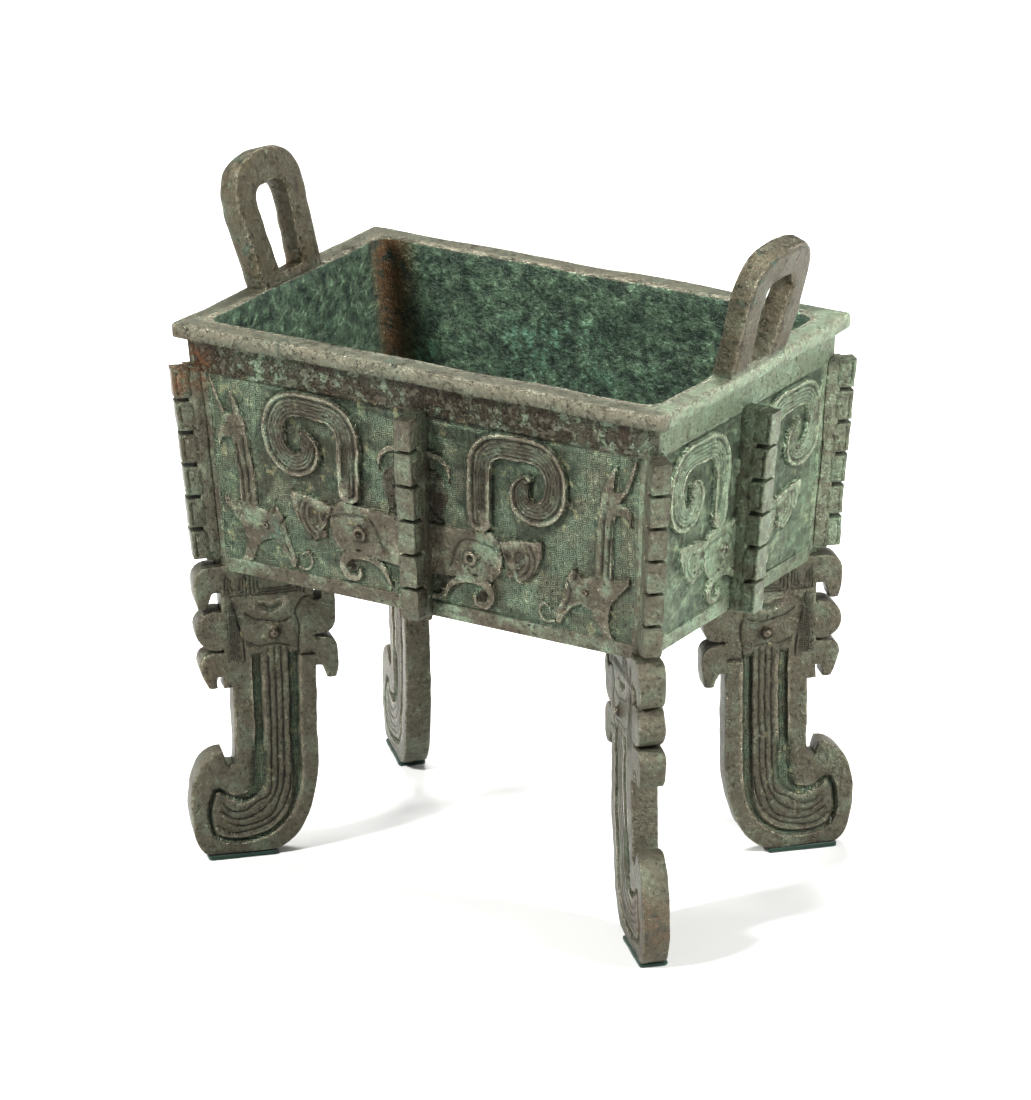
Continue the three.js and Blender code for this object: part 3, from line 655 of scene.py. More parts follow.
def legRelief(relief):
    depth = leg["lineDepth"]
    # the two wide channels down the body, with their widths
    inner = [[-26.6, 76.4, 3.4], [-26.6, 50, 3.4], [-26.4, 28, 3.4], [-23.8, 16.6, 3.4], [-17.8, 9.8, 3.2],
        [-9.6, 7.2, 2.8], [-2, 7.2, 2.4], [3.6, 9.6, 2], [5.4, 15, 1.8], [5.2, 21.4, 1.5], [3.4, 26.4, 1]]
    outer = [[-13.4, 76.4, 3.2], [-13.4, 50, 3.2], [-13.2, 32, 3.2], [-11.4, 25.8, 3.8], [-7, 23.2, 4.8],
        [-2.4, 24, 3.4], [1.4, 26.8, 1.2]]
    for knots in (inner, outer):
        line = spline(knots)
        away, _, along = trace(relief.u, relief.v, line)
        half = np.interp(along, np.linspace(0, 1, len(line)), line[:, 2]) / 2
        relief.guide(line, -1.8, -1.3, 0, 1.3, 1.8)
        cover = smooth((half - away) / 0.5 + 0.2)
        relief.engrave(cover, leg["channelDepth"], 0.3)
        relief.raised *= 1 - cover
        relief.figured = np.maximum(relief.figured, cover)
    # fine lines between them that turn with the foot
    for offset, low, k in ((-22.4, 12.6, 0), (-20.1, 15.4, 0.5), (-17.8, 18.2, 1)):
        relief.groove([[offset, 79.6], [offset, 56], [offset + 0.2, 34], [offset + 1.4, 26 - 2 * k],
            [offset + 5.2, low + 3.4], [-9.4 + 2 * k, low], [-3.4 + k, low + 0.4], [1.4 - k, low + 3.2]],
            0.8, leg["bodyLineDepth"])
    relief.groove([[-24.8, 78], [-24.8, 50], [-24.4, 30], [-21.8, 19], [-16, 12.6], [-8, 10.2],
        [-1.6, 10.2], [3, 13.4]], 0.8, depth)
    # the head: brow line, crescent, eye and the figured bands above and beside it
    relief.groove([[-33.6, 75.8], [-28, 75.9]], 1.1, 0.8, False)
    relief.groove([[-9.2, 76], [-8.6, 84], [-6.6, 92], [-5.2, 98.8]], 0.8, depth)
    relief.groove([[-28.4, 76.5], [-28.8, 88], [-27.6, 93], [-30.2, 97.6], [-33, 98]], 0.8, depth)
    crescent = [(-26.4, 99)]
    for bend, end in (((-22, 98.2), (-18.4, 97)), ((-14.6, 98.2), (-10.4, 99.4)),
                      ((-14, 93.4), (-18.6, 93.2)), ((-23, 93.6), (-26.4, 99))):
        crescent += bow(crescent[-1], bend, end)
    relief.sink(crescent, 1.0)
    relief.groove([[-26, 90.6], [-22, 89.4], [-18, 90.4], [-13, 91.6], [-9.6, 94]], 0.7, depth * 0.8)
    relief.groove([[-24.6, 80.4], [-20, 81.4], [-14.6, 81], [-10.6, 83]], 0.7, depth * 0.8)
    relief.dome(-19.8, 85.7, 3.4, 1.1)
    relief.dome(-19.8, 85.7, 2.3, 2.4, pit=0.5, pitDepth=0.3)
    for low, high in ((0, 0), (1.3, 1.1), (2.6, 2.2)):
        relief.groove([[-31 + low, 99.6 + high], [-31 + low, 109.4 - high], [-12 - low, 109.4 - high],
            [-12 - low, 100.4 + high], [-28.6 + low, 100.8 + high]], 0.6, depth * 0.7, False)
        left, right = -10.6 + low * 0.8, -3.2 - low * 0.8
        relief.groove([[left, 109 - high], [left, 100.6 + high], [right, 100.6 + high],
            [right, 108.6 - high]], 0.6, depth * 0.7, False)
    strip = smooth((2.6 - np.abs(relief.u + 5.6)) / 0.5) * smooth(relief.v - 76) * smooth(98 - relief.v)
    relief.figured = np.maximum(relief.figured, strip)
    relief.height -= leg["stripDepth"] * strip


def legSheet():
    lobe = [(0.6 + 7.4 * math.cos(a), 88 + 7.4 * math.sin(a)) for a in np.linspace(0, 2 * math.pi, 33)[:-1]]
    outlines = [shaftOutline(), lobe] + [hookOutline(*hook) for hook in hooks]
    return plate(outlines, [], leg["thickness"] / 2, leg["softness"], leg["spacing"], legRelief, zone=1.0)


def legFrame(sx, sy):
    s = math.sqrt(0.5)
    half = vessel["baseHalf"]
    return carried((sx * s, sy * s, 0), (0, 0, 1), (sy * s, -sx * s, 0), (sx * half[0], sy * half[1], 0))


# Ears. Places on an ear are measured across it and up its lean from the rim.
ear = {
    "height": 45.2, "footWidth": 37, "width": 41.5, "thickness": 8.6, "lean": 16, "root": 4, "softness": 2.1,
    "spacing": 1.5, "holeBottom": 1.6, "holeTop": 32.6, "holeFootWidth": 13, "holeWidth": 17.4,
}


def earSheet():
    foot, half, height = ear["footWidth"] / 2, ear["width"] / 2, ear["height"]
    corner = height * 0.24
    shoulder = height * 0.62
    outline = [(-foot, -ear["root"]), (foot, -ear["root"]), (half, shoulder)]
    outline += bezier((half, shoulder), (half, height - corner * 0.55),
        (half - corner * 0.6, height - 0.8), (half - corner * 1.5, height - 0.4), 10)
    outline += bow(outline[-1], (0, height + 0.4), (corner * 1.5 - half, height - 0.4), 8)
    outline += bezier(outline[-1], (corner * 0.6 - half, height - 0.8), (-half, height - corner * 0.55),
        (-half, shoulder), 10)
    holeFoot, holeHalf = ear["holeFootWidth"] / 2, ear["holeWidth"] / 2
    bend = ear["holeTop"] - holeHalf * 0.8
    hole = [(-holeFoot, ear["holeBottom"]), (-holeHalf, bend)]
    hole += bezier(hole[-1], (-holeHalf, ear["holeTop"]), (-holeHalf / 2, ear["holeTop"]),
        (0, ear["holeTop"]), 8)
    hole += bezier(hole[-1], (holeHalf / 2, ear["holeTop"]), (holeHalf, ear["holeTop"]), (holeHalf, bend), 8)
    hole.append((holeFoot, ear["holeBottom"]))
    sheet = plate([outline], [hole], ear["thickness"] / 2, ear["softness"], ear["spacing"], zone=0.0)
    sheet["points"][:, 2] -= ear["thickness"] / 2
    return sheet


def earFrame(side):
    lean = math.radians(ear["lean"])
    up = (side * math.sin(lean), 0, math.cos(lean))
    outward = (side * math.cos(lean), 0, -math.sin(lean))
    return carried((0, 1, 0), up, outward, (side * vessel["rimHalf"][0], 0, vessel["rimTop"]))


# Fins. Each is a spine with a row of segments, repeated by Geometry Nodes between its slits.
fins = {
    "segments": 6, "slit": 1.3, "drop": 10, "softness": 0.7, "spacing": 1.2, "rootDepth": 2.75,
    "corner": {"thickness": 6.8, "reach": 7.6, "footReach": 7.0, "lift": 3.9, "slitDepth": 5.0},
    "middle": {"thickness": 7.2, "reach": 11.5, "footReach": 9.5, "lift": 0.0, "slitDepth": 5.5},
}


# Adds a node with its settings. Values and links go to its inputs in order or, in a dictionary, by name. It
# gives the first output, and a kind without "Node" in it is a shader node.
def addNode(tree, kind, *values, named=None, **settings):
    node = tree.nodes.new(kind if "Node" in kind else "ShaderNode" + kind)
    for name, value in settings.items():
        setattr(node, name, value)
    inOrder = zip([socket for socket in node.inputs if socket.enabled], values)
    byName = [(node.inputs[name], value) for name, value in (named or {}).items()]
    for socket, value in [*inOrder, *byName]:
        if isinstance(value, bpy.types.NodeSocket):
            tree.links.new(value, socket)
        else:
            socket.default_value = value
    return next((socket for socket in node.outputs if socket.enabled), None)


def rowOfSegments():
    group = bpy.data.node_groups.new("Row of segments", "GeometryNodeTree")
    group.interface.new_socket("Geometry", in_out="OUTPUT", socket_type="NodeSocketGeometry")
    sockets = {}
    kinds = {"Segment": "Object", "Count": "Int", "Pitch": "Float", "Material": "Material"}
    for name, kind in kinds.items():
        made = group.interface.new_socket(name, in_out="INPUT", socket_type="NodeSocket" + kind)
        sockets[name] = made.identifier
    given = addNode(group, "NodeGroupInput").node.outputs
    step = addNode(group, "CombineXYZ", named={"Y": given["Pitch"]})
    line = addNode(group, "GeometryNodeMeshLine", named={"Count": given["Count"], "Offset": step})
    segment = addNode(group, "GeometryNodeObjectInfo", given["Segment"]).node.outputs["Geometry"]
    scattered = addNode(group, "GeometryNodeInstanceOnPoints", named={"Points": line, "Instance": segment})
    real = addNode(group, "GeometryNodeRealizeInstances", scattered)
    dressed = addNode(group, "GeometryNodeSetMaterial", real, named={"Material": given["Material"]})
    addNode(group, "NodeGroupOutput", dressed)
    return group, sockets


def finSheet(size, group, sockets, material):
    top, bottom = -fins["drop"], size["lift"] - wallHeight
    slit, root = fins["slit"], -fins["rootDepth"]
    pitch = (top - bottom) / fins["segments"]
    inner = size["reach"] - size["slitDepth"]
    half, softness = size["thickness"] / 2, fins["softness"]
    segment = [(inner - 1.5, slit / 2), (size["reach"], slit / 2), (size["reach"], pitch - slit / 2),
        (inner - 1.5, pitch - slit / 2)]

    # three fine lines that frame a segment
    def frameLines(relief):
        right, ends = size["reach"] - 1.7, (slit / 2 + 1.6, pitch - slit / 2 - 1.6)
        relief.groove([[right, ends[0]], [right, ends[1]]], 0.6, 0.3, False)
        for end in ends:
            relief.groove([[inner - 0.6, end], [right, end]], 0.6, 0.25, False)

    one = plate([segment], [], half, softness, fins["spacing"], frameLines, zone=3.0)
    source = linked("segment", meshOf("segment", one["points"], one["triangles"]))
    holder = linked("segments", bpy.data.meshes.new("segments"))
    rows = holder.modifiers.new("rows", "NODES")
    rows.node_group = group
    rows[sockets["Segment"]] = source
    rows[sockets["Count"]] = fins["segments"]
    rows[sockets["Pitch"]] = pitch
    rows[sockets["Material"]] = material
    made = evaluatedMesh(holder)
    points = np.array([v.co for v in made.vertices]) + [0, bottom, 0]
    triangles = np.array([tuple(p.vertices) for p in made.polygons])
    bpy.data.objects.remove(holder)
    bpy.data.objects.remove(source)
    segments = sheetOf(points, triangles, zone=3.0)
    segments["raised"][:] = 0.85
    spine = plate([[(root, bottom), (inner, bottom), (inner, top), (root, top)]], [], half - 0.25,
        softness, fins["spacing"] * 3, zone=3.0)
    sheet = joined([segments, spine])
    # the fin narrows toward its foot
    share = (top - sheet["points"][:, 1]) / (top - bottom)
    narrowing = 1 + (size["footReach"] / size["reach"] - 1) * share
    sheet["points"][:, 0] *= np.where(sheet["points"][:, 0] > 0, narrowing, 1)
    return sheet


def cornerFrame(sx, sy):
    s = math.sqrt(0.5)
    top = Vector((sx * vessel["topHalf"][0], sy * vessel["topHalf"][1], vessel["wallTop"]))
    foot = Vector((sx * vessel["baseHalf"][0], sy * vessel["baseHalf"][1], vessel["baseHeight"]))
    return carried((sx * s, sy * s, 0), (top - foot) / wallHeight, (-sy * s, sx * s, 0), top)


def middleFrame(index):
    up, origin, turn = wallPlace(index)
    return turn @ carried((0, -1, 0), up / wallHeight, (1, 0, 0), origin)


# The vessel's body and rim: rings from the underside, over the rim and down to the cavity's floor.
def ring(half, z, radius, cornerSteps=5, sideSteps=(30, 20)):
    corners = []
    for quarter, (sx, sy) in enumerate(((1, 1), (-1, 1), (-1, -1), (1, -1))):
        angles = [(quarter + i / cornerSteps) * math.pi / 2 for i in range(cornerSteps + 1)]
        middle = (sx * (half[0] - radius), sy * (half[1] - radius))
        corners.append([(middle[0] + radius * math.cos(angle), middle[1] + radius * math.sin(angle), z)
            for angle in angles])
    points = []
    for quarter, steps in enumerate(sideSteps * 2):
        start, end = np.array(corners[quarter][-1]), np.array(corners[(quarter + 1) % 4][0])
        points += corners[quarter]
        points += [tuple(start + (end - start) * k / steps) for k in range(1, steps)]
    return points


def bodySheet():
    rimTop, rim, soft = vessel["rimTop"], vessel["rimHalf"], vessel["rimSoftness"]
    wallTop, base = vessel["wallTop"], vessel["baseHeight"]
    floor = base + vessel["floorThickness"]
    top, foot = vessel["topHalf"], vessel["baseHalf"]
    corner, curve = vessel["cavityCorner"], vessel["cavityFloorCurve"]

    def wallAt(z):
        return [h - vessel["wallThickness"] for h in wallHalf(z - wallTop)]

    # the section from the middle of the underside, over the rim and down: half widths, inset, height, corner
    section = [
        (foot, 40, base, 0.4), (foot, 12, base, 0.4), (foot, 1.6, base, 0.4), (foot, 1.2, base + 0.3, 0.4),
        (top, 1.2, wallTop + 0.2, 0.4), (rim, 1.0, wallTop, 0.6), (rim, 0.25, wallTop + 0.25, 0.8),
        (rim, 0, wallTop + soft, 0.9), (rim, 0, rimTop - soft, 0.9), (rim, 0.27, rimTop - 0.27, 0.8),
        (rim, soft, rimTop, 0.7), (rim, 4.5, rimTop, 2.5), (wallAt(rimTop), -soft, rimTop, corner),
        (wallAt(rimTop), -0.27, rimTop - 0.27, corner), (wallAt(rimTop - soft), 0, rimTop - soft, corner),
    ]
    section += [(wallAt(z), 0, z, corner) for z in np.linspace(rimTop - 6, floor + curve, 14)]
    for angle in np.arange(1, 5) / 4 * math.pi / 2:
        z = floor + curve * (1 - math.sin(angle))
        section.append((wallAt(z), curve * (1 - math.cos(angle)), z, corner))
    section += [(wallAt(floor), curve + 10, floor, 3), (wallAt(floor), 34, floor, 1)]
    rings = [ring([h - inset for h in half], z, radius) for half, inset, z, radius in section]
    points = np.vstack(rings)
    count = len(rings[0])
    faces = [(j + i, j + (i + 1) % count, j + (i + 1) % count + count, j + i + count)
        for j in range(0, len(points) - count, count) for i in range(count)]
    lower = len(points)
    points = np.vstack([points, [[0, 0, base]], [[0, 0, floor]]])
    faces += [((i + 1) % count, i, lower) for i in range(count)]
    last = (len(rings) - 1) * count
    faces += [(last + i, last + (i + 1) % count, lower + 1) for i in range(count)]
    sheet = sheetOf(points, triangulated(faces), uv=points[:, :2].copy())
    # the cavity's skin, and the wear and painted highlights on the rim's edges from its lower lip to its
    # inner edge
    sheet["zone"][14 * count:lower] = 2
    sheet["zone"][lower + 1] = 2
    for first, last, hollow in ((7, 8, -0.2), (8, 11, -0.38), (12, 14, -0.6)):
        sheet["hollow"][first * count:last * count] = hollow
    return sheet


# Materials
def colour(code):
    channels = [int(code[i:i + 2], 16) / 255 for i in (1, 3, 5)]
    return [c / 12.92 if c <= 0.04045 else ((c + 0.055) / 1.055) ** 2.4 for c in channels] + [1.0]


# A new material, the function that adds its nodes and the place on the object in millimetres.
def startMaterial(name):
    material = bpy.data.materials.new(name)
    material.use_nodes = True
    material.node_tree.nodes.clear()
    add = partial(addNode, material.node_tree)
    return material, add, add("VectorMath", add("TexCoord").node.outputs["Object"], 1000, operation="SCALE")


# A mask is the product of a strength and parts. A part (value, low, high) goes from 0 to 1 between the two.
def masked(add, strength, *parts):
    for part in parts:
        if isinstance(part, tuple):
            part = add("MapRange", *part, interpolation_type="SMOOTHSTEP")
        strength = add("Math", strength, part, operation="MULTIPLY")
    return strength


# A start and shares of some values.
def summed(add, total, *shares):
    for value, share in shares:
        total = add("Math", value, share, total, operation="MULTIPLY_ADD")
    return total


# Colours laid over each other, each where its mask says.
def layered(add, base, layers):
    for tint, *mask in layers:
        base = add("Mix", masked(add, *mask), base, colour(patina[tint]), data_type="RGBA")
    return base


patina = {
    "olive": "#7b7d6a", "green": "#768772", "verdigris": "#a3bb9f", "brown": "#544f43", "dark": "#0f0f0b",
    "lime": "#c4b98a", "rust": "#6e4d34", "worn": "#b3a996", "interior": "#34403a",
    "interiorPale": "#627660", "deposit": "#cfccb8", "boss": "#2f261c", "teal": "#44796a",
    "earth": "#54492f",
    "figureCell": 2.6, "figureBend": 1.6, "figureDepth": 0.6, "grainDepth": 0.25, "metallic": 0.6,
    # patterns by size in millimetres, detail and roughness: clouds, blotches, mottle, crystals, cast grain
    "patterns": [(34, 3, 0.6), (9, 5, 0.65), (4, 6, 0.72), (1.5, 4, 0.7), (0.55, 3, 0.7)],
    # place, reach and strength: left fin's top, left ear's foot, back left leg, front left and right legs
    "rustSpots": [((-98, -62, 186), 16, 0.7), ((-101, 0, 205), 10, 0.8), ((-96, 64, 84), 60, 0.35),
                  ((-104, -68, 60), 30, 0.2), ((92, -62, 16), 20, 0.3)],
}


# Bronze, cast in clay moulds and then buried for long. Copper salts cover it with a thin, matt, grey-green
# crust that is brown where the relief stands up and dark in the lines, and metal still shines through it a
# little. Attributes of the mesh say where those places are. The dark in the lines and hollows is partly
# painted shade, and the pale on proud edges, on the right end and in some specks is partly painted light.
# Grain and crystals are a little coarser than real ones, so that they show.
def bronzeMaterial():
    material, add, at = startMaterial("Patinated bronze")
    x, y, z = add("SeparateXYZ", at).node.outputs
    mark, cut, figured, hollow, legs, interior = (add("Attribute", attribute_name=name).node.outputs["Fac"]
        for name in ("raised", "cut", "figured", "hollow", "legs", "interior"))
    raised = add("Math", mark, 1, operation="MINIMUM")
    broad, middle, mottle, fine, grain = (add("TexNoise", at, 1 / size, detail, rough)
        for size, detail, rough in patina["patterns"])

    # fine square spirals on the figured ground, a little bent
    bend = add("TexNoise", at, 1 / 5, 2).node.outputs["Color"]
    swing = (patina["figureBend"], patina["figureBend"], 0)
    bent = add("VectorMath", bend, swing, add("UVMap", uv_map="Face"), operation="MULTIPLY_ADD")
    cell = add("VectorMath", bent, 1 / patina["figureCell"], operation="SCALE")
    inCell = add("SeparateXYZ", add("VectorMath", cell, operation="FRACTION")).node.outputs
    across, up = (add("Math", inCell[k], 0.5, operation="SUBTRACT") for k in (0, 1))
    reach = add("Math", *(add("Math", way, operation="ABSOLUTE") for way in (across, up)),
        operation="MAXIMUM")
    turn = add("Math", up, across, operation="ARCTAN2")
    winding = summed(add, 0, (reach, 4), (turn, 1 / (2 * math.pi)))
    offLine = add("Math", add("Math", winding, operation="FRACT"), 0.5, operation="SUBTRACT")
    figure = masked(add, figured, (add("Math", offLine, operation="ABSOLUTE"), 0.12, 0.4))

    # where things are: outside the cavity and off the legs, on the right end, proud edges and hollows; the
    # right end is painted paler, partly real verdigris and partly painted light for the light that falls on
    # it
    outside = add("Math", 1, add("Math", legs, interior, operation="MAXIMUM"), operation="SUBTRACT")
    rightEndPaleAndLit = masked(add, outside, (x, 84, 94), (z, 204, 200), (y, -61.5, -57.5))
    offPaleLitEnd = summed(add, 1, (rightEndPaleAndLit, -0.6))
    offLegs = summed(add, 1, (legs, -0.6))
    # proud edges, where the pale wear colour also paints highlights
    proud = masked(add, 1, (hollow, -0.15, -0.5), (hollow, -1.1, -0.55))
    # painted shade and grime: engraved lines, square spirals and the foot of the relief are darkened
    shadeAndGrime = add("Math", add("Math", cut, figure, operation="MAXIMUM"), masked(add, 1, (hollow, 0.1, 0.5)),
        operation="MAXIMUM")
    # chips along the rim, scabs on the neck and pale verdigris, most of it on the right end, where the pale
    # is partly painted light
    chips = masked(add, outside, (z, 195, 196.5), (mottle, 0.55, 0.6))
    scabs = masked(add, outside, (z, 183, 185), (z, 197, 195.4), (mottle, 0.47, 0.53), offPaleLitEnd)
    offBare = summed(add, 1, (add("Math", legs, raised, operation="MAXIMUM"), -0.7))
    cloud = summed(add, 0.25, (masked(add, 1, (mottle, 0.4, 0.6)), 1))
    bloomAndLight = masked(add, rightEndPaleAndLit, cloud, summed(add, 1, (raised, -0.5)))
    crustAndEndLight = add("Math", masked(add, offBare, (fine, 0.52, 0.62), (mottle, 0.5, 0.64)),
        bloomAndLight, operation="ADD", use_clamp=True)
    rusty = 0
    for place, size, strength in patina["rustSpots"]:
        gap = add("VectorMath", at, place, operation="DISTANCE")
        rusty = add("Math", rusty, masked(add, strength, (gap, size, 0.4 * size)), operation="MAXIMUM")

    base = layered(add, colour(patina["olive"]), [
        ("green", 1, (middle, 0.38, 0.62)), ("green", 0.6, (broad, 0.4, 0.65)),
        ("brown", raised, (middle, 0.74, 0.42), offPaleLitEnd), ("brown", 0.7, legs, raised),
        ("earth", 0.5, (z, 202, 205)),
        ("boss", 0.4, raised, (mottle, 0.5, 0.58), summed(add, 1, (interior, -1))),
        ("brown", 0.6, outside, (z, 195, 196.5), (middle, 0.36, 0.52)),
        ("boss", 0.6, chips), ("boss", 0.8, (mark, 1, 1.3)),
        ("interior", interior), ("interiorPale", interior, (mottle, 0.3, 0.72)),
        ("teal", 0.4, offLegs, (broad, 0.54, 0.7), (mottle, 0.48, 0.62)),
        ("verdigris", 0.6, crustAndEndLight), ("boss", 0.8, scabs)])
    # uneven tone, from the cast grain up to the mottle
    tone = summed(add, -0.7, (fine, 1.2), (grain, 0.5), (mottle, 1.9))
    base = add("HueSaturation", named={"Value": tone, "Color": base})
    # painted shade and grime in lines and at the foot of the relief, wear and painted highlights on edges,
    # lime in hollows, pits, pale specks that are partly painted glints, rust, and rust that has run down the
    # back left corner inside
    base = layered(add, base, [
        ("dark", 0.65, shadeAndGrime), ("worn", 0.34, proud, (middle, 0.3, 0.6)),
        ("lime", 0.35, (hollow, 0.02, 0.2), (mottle, 0.55, 0.68)),
        ("dark", 0.85, (fine, 0.44, 0.34), (grain, 0.56, 0.42)),
        ("deposit", 0.45, offLegs, (grain, 0.58, 0.68), (middle, 0.46, 0.6)),
        ("rust", rusty, (mottle, 0.4, 0.56)),
        ("rust", 0.85, interior, (x, -72, -86), (y, 45, 52), (mottle, 0.35, 0.55))])

    relief = summed(add, 0, (grain, patina["grainDepth"]), (fine, 0.6), (mottle, 1.3), (scabs, 0.5),
        (chips, -0.8), (figure, -patina["figureDepth"]))
    bump = add("Bump", named={"Strength": 0.9, "Distance": 0.001, "Height": relief})
    roughness = summed(add, 0.26, (fine, 0.3), (proud, -0.1), (raised, -0.1))
    surface = add("BsdfPrincipled", named={"Base Color": base, "Metallic": patina["metallic"],
        "Roughness": roughness, "Normal": bump})
    add("OutputMaterial", surface)
    return material


felt = {"dark": "#0a2419", "pale": "#143c2b", "fibre": 0.5}


# Wool felt, pressed from fibres and cut out: quite matt and dark green, with a soft sheen at a flat angle.
# Its fibres are drawn half a millimetre wide, coarser than real ones, so that they show.
def feltMaterial():
    material, add, at = startMaterial("Green felt")
    fibres = add("TexNoise", at, 1 / felt["fibre"], 5, 0.75)
    share = masked(add, 1, (fibres, 0.3, 0.7))
    tone = add("Mix", share, colour(felt["dark"]), colour(felt["pale"]), data_type="RGBA")
    bump = add("Bump", named={"Strength": 0.8, "Distance": 0.0003, "Height": fibres})
    surface = add("BsdfPrincipled", named={"Base Color": tone, "Roughness": 0.95, "Sheen Weight": 0.4,
        "Sheen Roughness": 0.5, "Normal": bump})
    add("OutputMaterial", surface)
    return material


# A finished piece in its place, kept inside the CAD part's box, with the values that the materials read.
def finishedObject(name, sheet, material, sharpAngle):
    points = np.clip(sheet["points"] / 1000, np.array(cadLow) + 1e-5, np.array(cadHigh) - 1e-5)
    mesh = meshOf(name, points, sheet["triangles"])
    mesh.validate()
    zone = sheet["zone"]
    marks = {key: sheet[key] for key in ("raised", "cut", "figured", "hollow")}
    marks["legs"] = (zone == 1) + 0.6 * (zone == 3)
    marks["interior"] = zone == 2
    for key, values in marks.items():
        attribute = mesh.attributes.new(key, "FLOAT", "POINT")
        attribute.data.foreach_set("value", np.asarray(values, np.float32))
    layer = mesh.uv_layers.new(name="Face")
    corners = np.zeros(len(mesh.loops), np.int32)
    mesh.loops.foreach_get("vertex_index", corners)
    layer.data.foreach_set("uv", sheet["uv"][corners].astype(np.float32).ravel())
    mesh.shade_smooth()
    mesh.set_sharp_from_angle(angle=math.radians(sharpAngle))
    mesh.materials.append(material)
    return linked(name, mesh)


print("materials")
bronze = bronzeMaterial()
greenFelt = feltMaterial()

print("walls")
walls = [wall(True), wall(False)]
sheets = [bodySheet()] + [placed(walls[index % 2], wallFrame(index)) for index in range(4)]
print("legs")
oneLeg = legSheet()
corners = [(-1, -1), (1, -1), (1, 1), (-1, 1)]
sheets += [placed(oneLeg, legFrame(sx, sy)) for sx, sy in corners]
print("ears and fins")
oneEar = earSheet()
sheets += [placed(oneEar, earFrame(side)) for side in (-1, 1)]
segmentRow, rowSockets = rowOfSegments()
cornerFin = finSheet(fins["corner"], segmentRow, rowSockets, bronze)
middleFin = finSheet(fins["middle"], segmentRow, rowSockets, bronze)
sheets += [placed(cornerFin, cornerFrame(sx, sy)) for sx, sy in corners]
sheets += [placed(middleFin, middleFrame(index)) for index in range(4)]
print("triangles", *(len(sheet["triangles"]) for sheet in sheets))
whole = joined(sheets)
whole["points"] = (whole["points"] + vessel["unevenness"] * sway(whole["points"], vessel["swayBroad"], 1)
    + 0.4 * vessel["unevenness"] * sway(whole["points"], vessel["swayFine"], 2))
body = finishedObject("Bronze", whole, bronze, 42)
print("bronze", len(body.data.polygons), "triangles")
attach(body, "root")
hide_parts("bronze_ding")

# Felt pads under the feet
pads = {"thickness": 1.5, "halfWidth": 5, "overlap": 0.6, "corner": 1.5, "softness": 0.4, "spacing": 0.9}
padNames = ["front_left", "front_right", "back_right", "back_left"]


def padSheet():
    halfLength = (leg["footOuter"] - leg["footInner"]) / 2 + pads["overlap"]
    outline = [(x, y) for x, y, _ in ring((halfLength, pads["halfWidth"]), 0, pads["corner"], 4, (8, 4))]
    generator = np.random.default_rng(4)
    wobble = generator.uniform(-0.18, 0.0, len(outline))
    outline = [(x + math.copysign(w, x), y + math.copysign(w, y)) for (x, y), w in zip(outline, wobble)]
    return plate([counterclockwise(outline)], [], pads["thickness"] / 2, pads["softness"], pads["spacing"])


print("felt pads")
onePad = padSheet()
for (sx, sy), name in zip(corners, padNames):
    middle = (leg["footInner"] + leg["footOuter"]) / 2 * math.sqrt(0.5)
    turn = Matrix.Rotation(math.atan2(sy, sx), 4, "Z")
    turn.translation = Vector((sx * (vessel["baseHalf"][0] + middle), sy * (vessel["baseHalf"][1]
        + middle), pads["thickness"] / 2))
    pad = finishedObject(f"Felt_{name}", placed(onePad, turn), greenFelt, 60)
    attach(pad, "root")
    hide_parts(f"felt_pad_{name}")

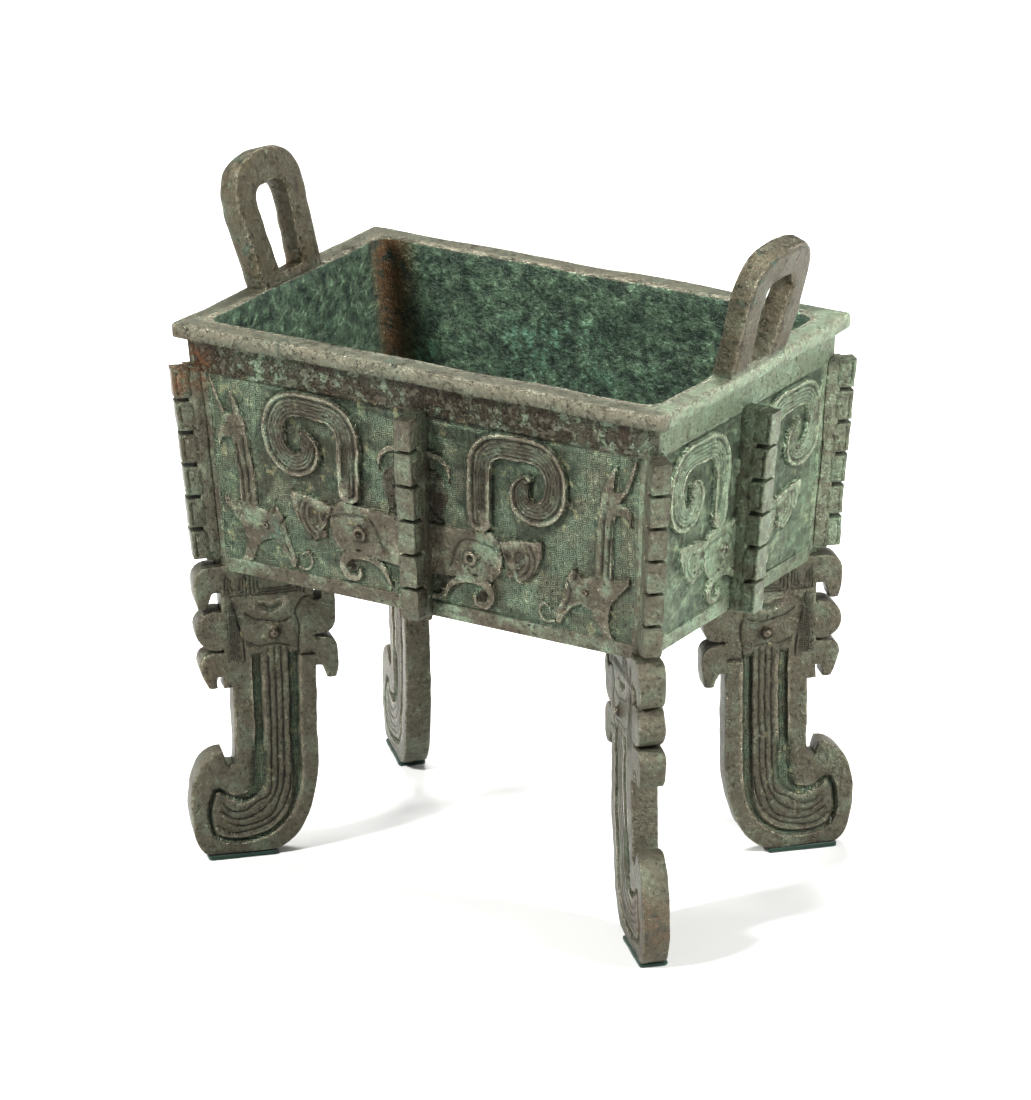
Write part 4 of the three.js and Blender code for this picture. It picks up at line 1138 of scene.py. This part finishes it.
# Camera, fitted to the photograph, and the floor and lights of its studio
view = {"azimuth": 32.72, "elevation": 20.84, "distance": 2.09684, "roll": -0.99, "focal": 5924.18,
        "aim": (0, 0, 0.1), "aimRight": 0.00004, "aimUp": 0.01393, "sensor": 36, "imageHeight": 1100}
print("camera and light")
azimuth, elevation, roll = (math.radians(view[key]) for key in ("azimuth", "elevation", "roll"))
backward = Vector((math.sin(azimuth) * math.cos(elevation), -math.cos(azimuth) * math.cos(elevation),
    math.sin(elevation)))
right = Vector((math.cos(azimuth), math.sin(azimuth), 0))
upward = backward.cross(right)
across = right * math.cos(roll) + upward * math.sin(roll)
above = upward * math.cos(roll) - right * math.sin(roll)
cameraData = bpy.data.cameras.new("Camera")
cameraData.sensor_width = view["sensor"]
cameraData.lens = view["focal"] / view["imageHeight"] * view["sensor"]
camera = linked("Camera", cameraData)
camera.matrix_world = carried(across, above, backward, Vector(view["aim"]) + right * view["aimRight"]
    + upward * view["aimUp"] + backward * view["distance"])
bpy.context.scene.camera = camera

studio = {
    "floorHalf": 6.0, "floor": "#d9d9d8", "sky": 0.33, "gamma": 0.84, "aim": (0, 0, 0.12),
    "left": {"place": (-0.9, -1.75, 1.9), "size": 0.4, "power": 122},
    "right": {"place": (1.7, 0.1, 1.2), "size": 0.5, "power": 66},
    "above": {"place": (-0.6, 0.9, 1.9), "size": 0.8, "power": 58},
}
bpy.context.scene.view_settings.view_transform = "Standard"
bpy.context.scene.view_settings.gamma = studio["gamma"]
h = studio["floorHalf"]
floorMesh = bpy.data.meshes.new("Floor")
floorMesh.from_pydata([(-h, -h, 0), (h, -h, 0), (h, h, 0), (-h, h, 0)], [], [(0, 1, 2, 3)])
floorMaterial = bpy.data.materials.new("Studio paper")
floorMaterial.use_nodes = True
floorSurface = floorMaterial.node_tree.nodes["Principled BSDF"]
floorSurface.inputs["Base Color"].default_value = colour(studio["floor"])
floorSurface.inputs["Roughness"].default_value = 0.9
floorMesh.materials.append(floorMaterial)
floor = linked("Floor", floorMesh)

world = bpy.data.worlds.new("Studio")
bpy.context.scene.world = world
world.use_nodes = True
sky = world.node_tree.nodes["Background"]
sky.inputs["Color"].default_value = (1, 1, 1, 1)
sky.inputs["Strength"].default_value = studio["sky"]

for name in ("left", "right", "above"):
    given = studio[name]
    data = bpy.data.lights.new(name.capitalize() + " softbox", "AREA")
    data.size = given["size"]
    data.energy = given["power"]
    light = linked(data.name, data)
    light.location = given["place"]
    aimed = Vector(studio["aim"]) - Vector(given["place"])
    light.rotation_euler = aimed.to_track_quat("-Z", "Y").to_euler()
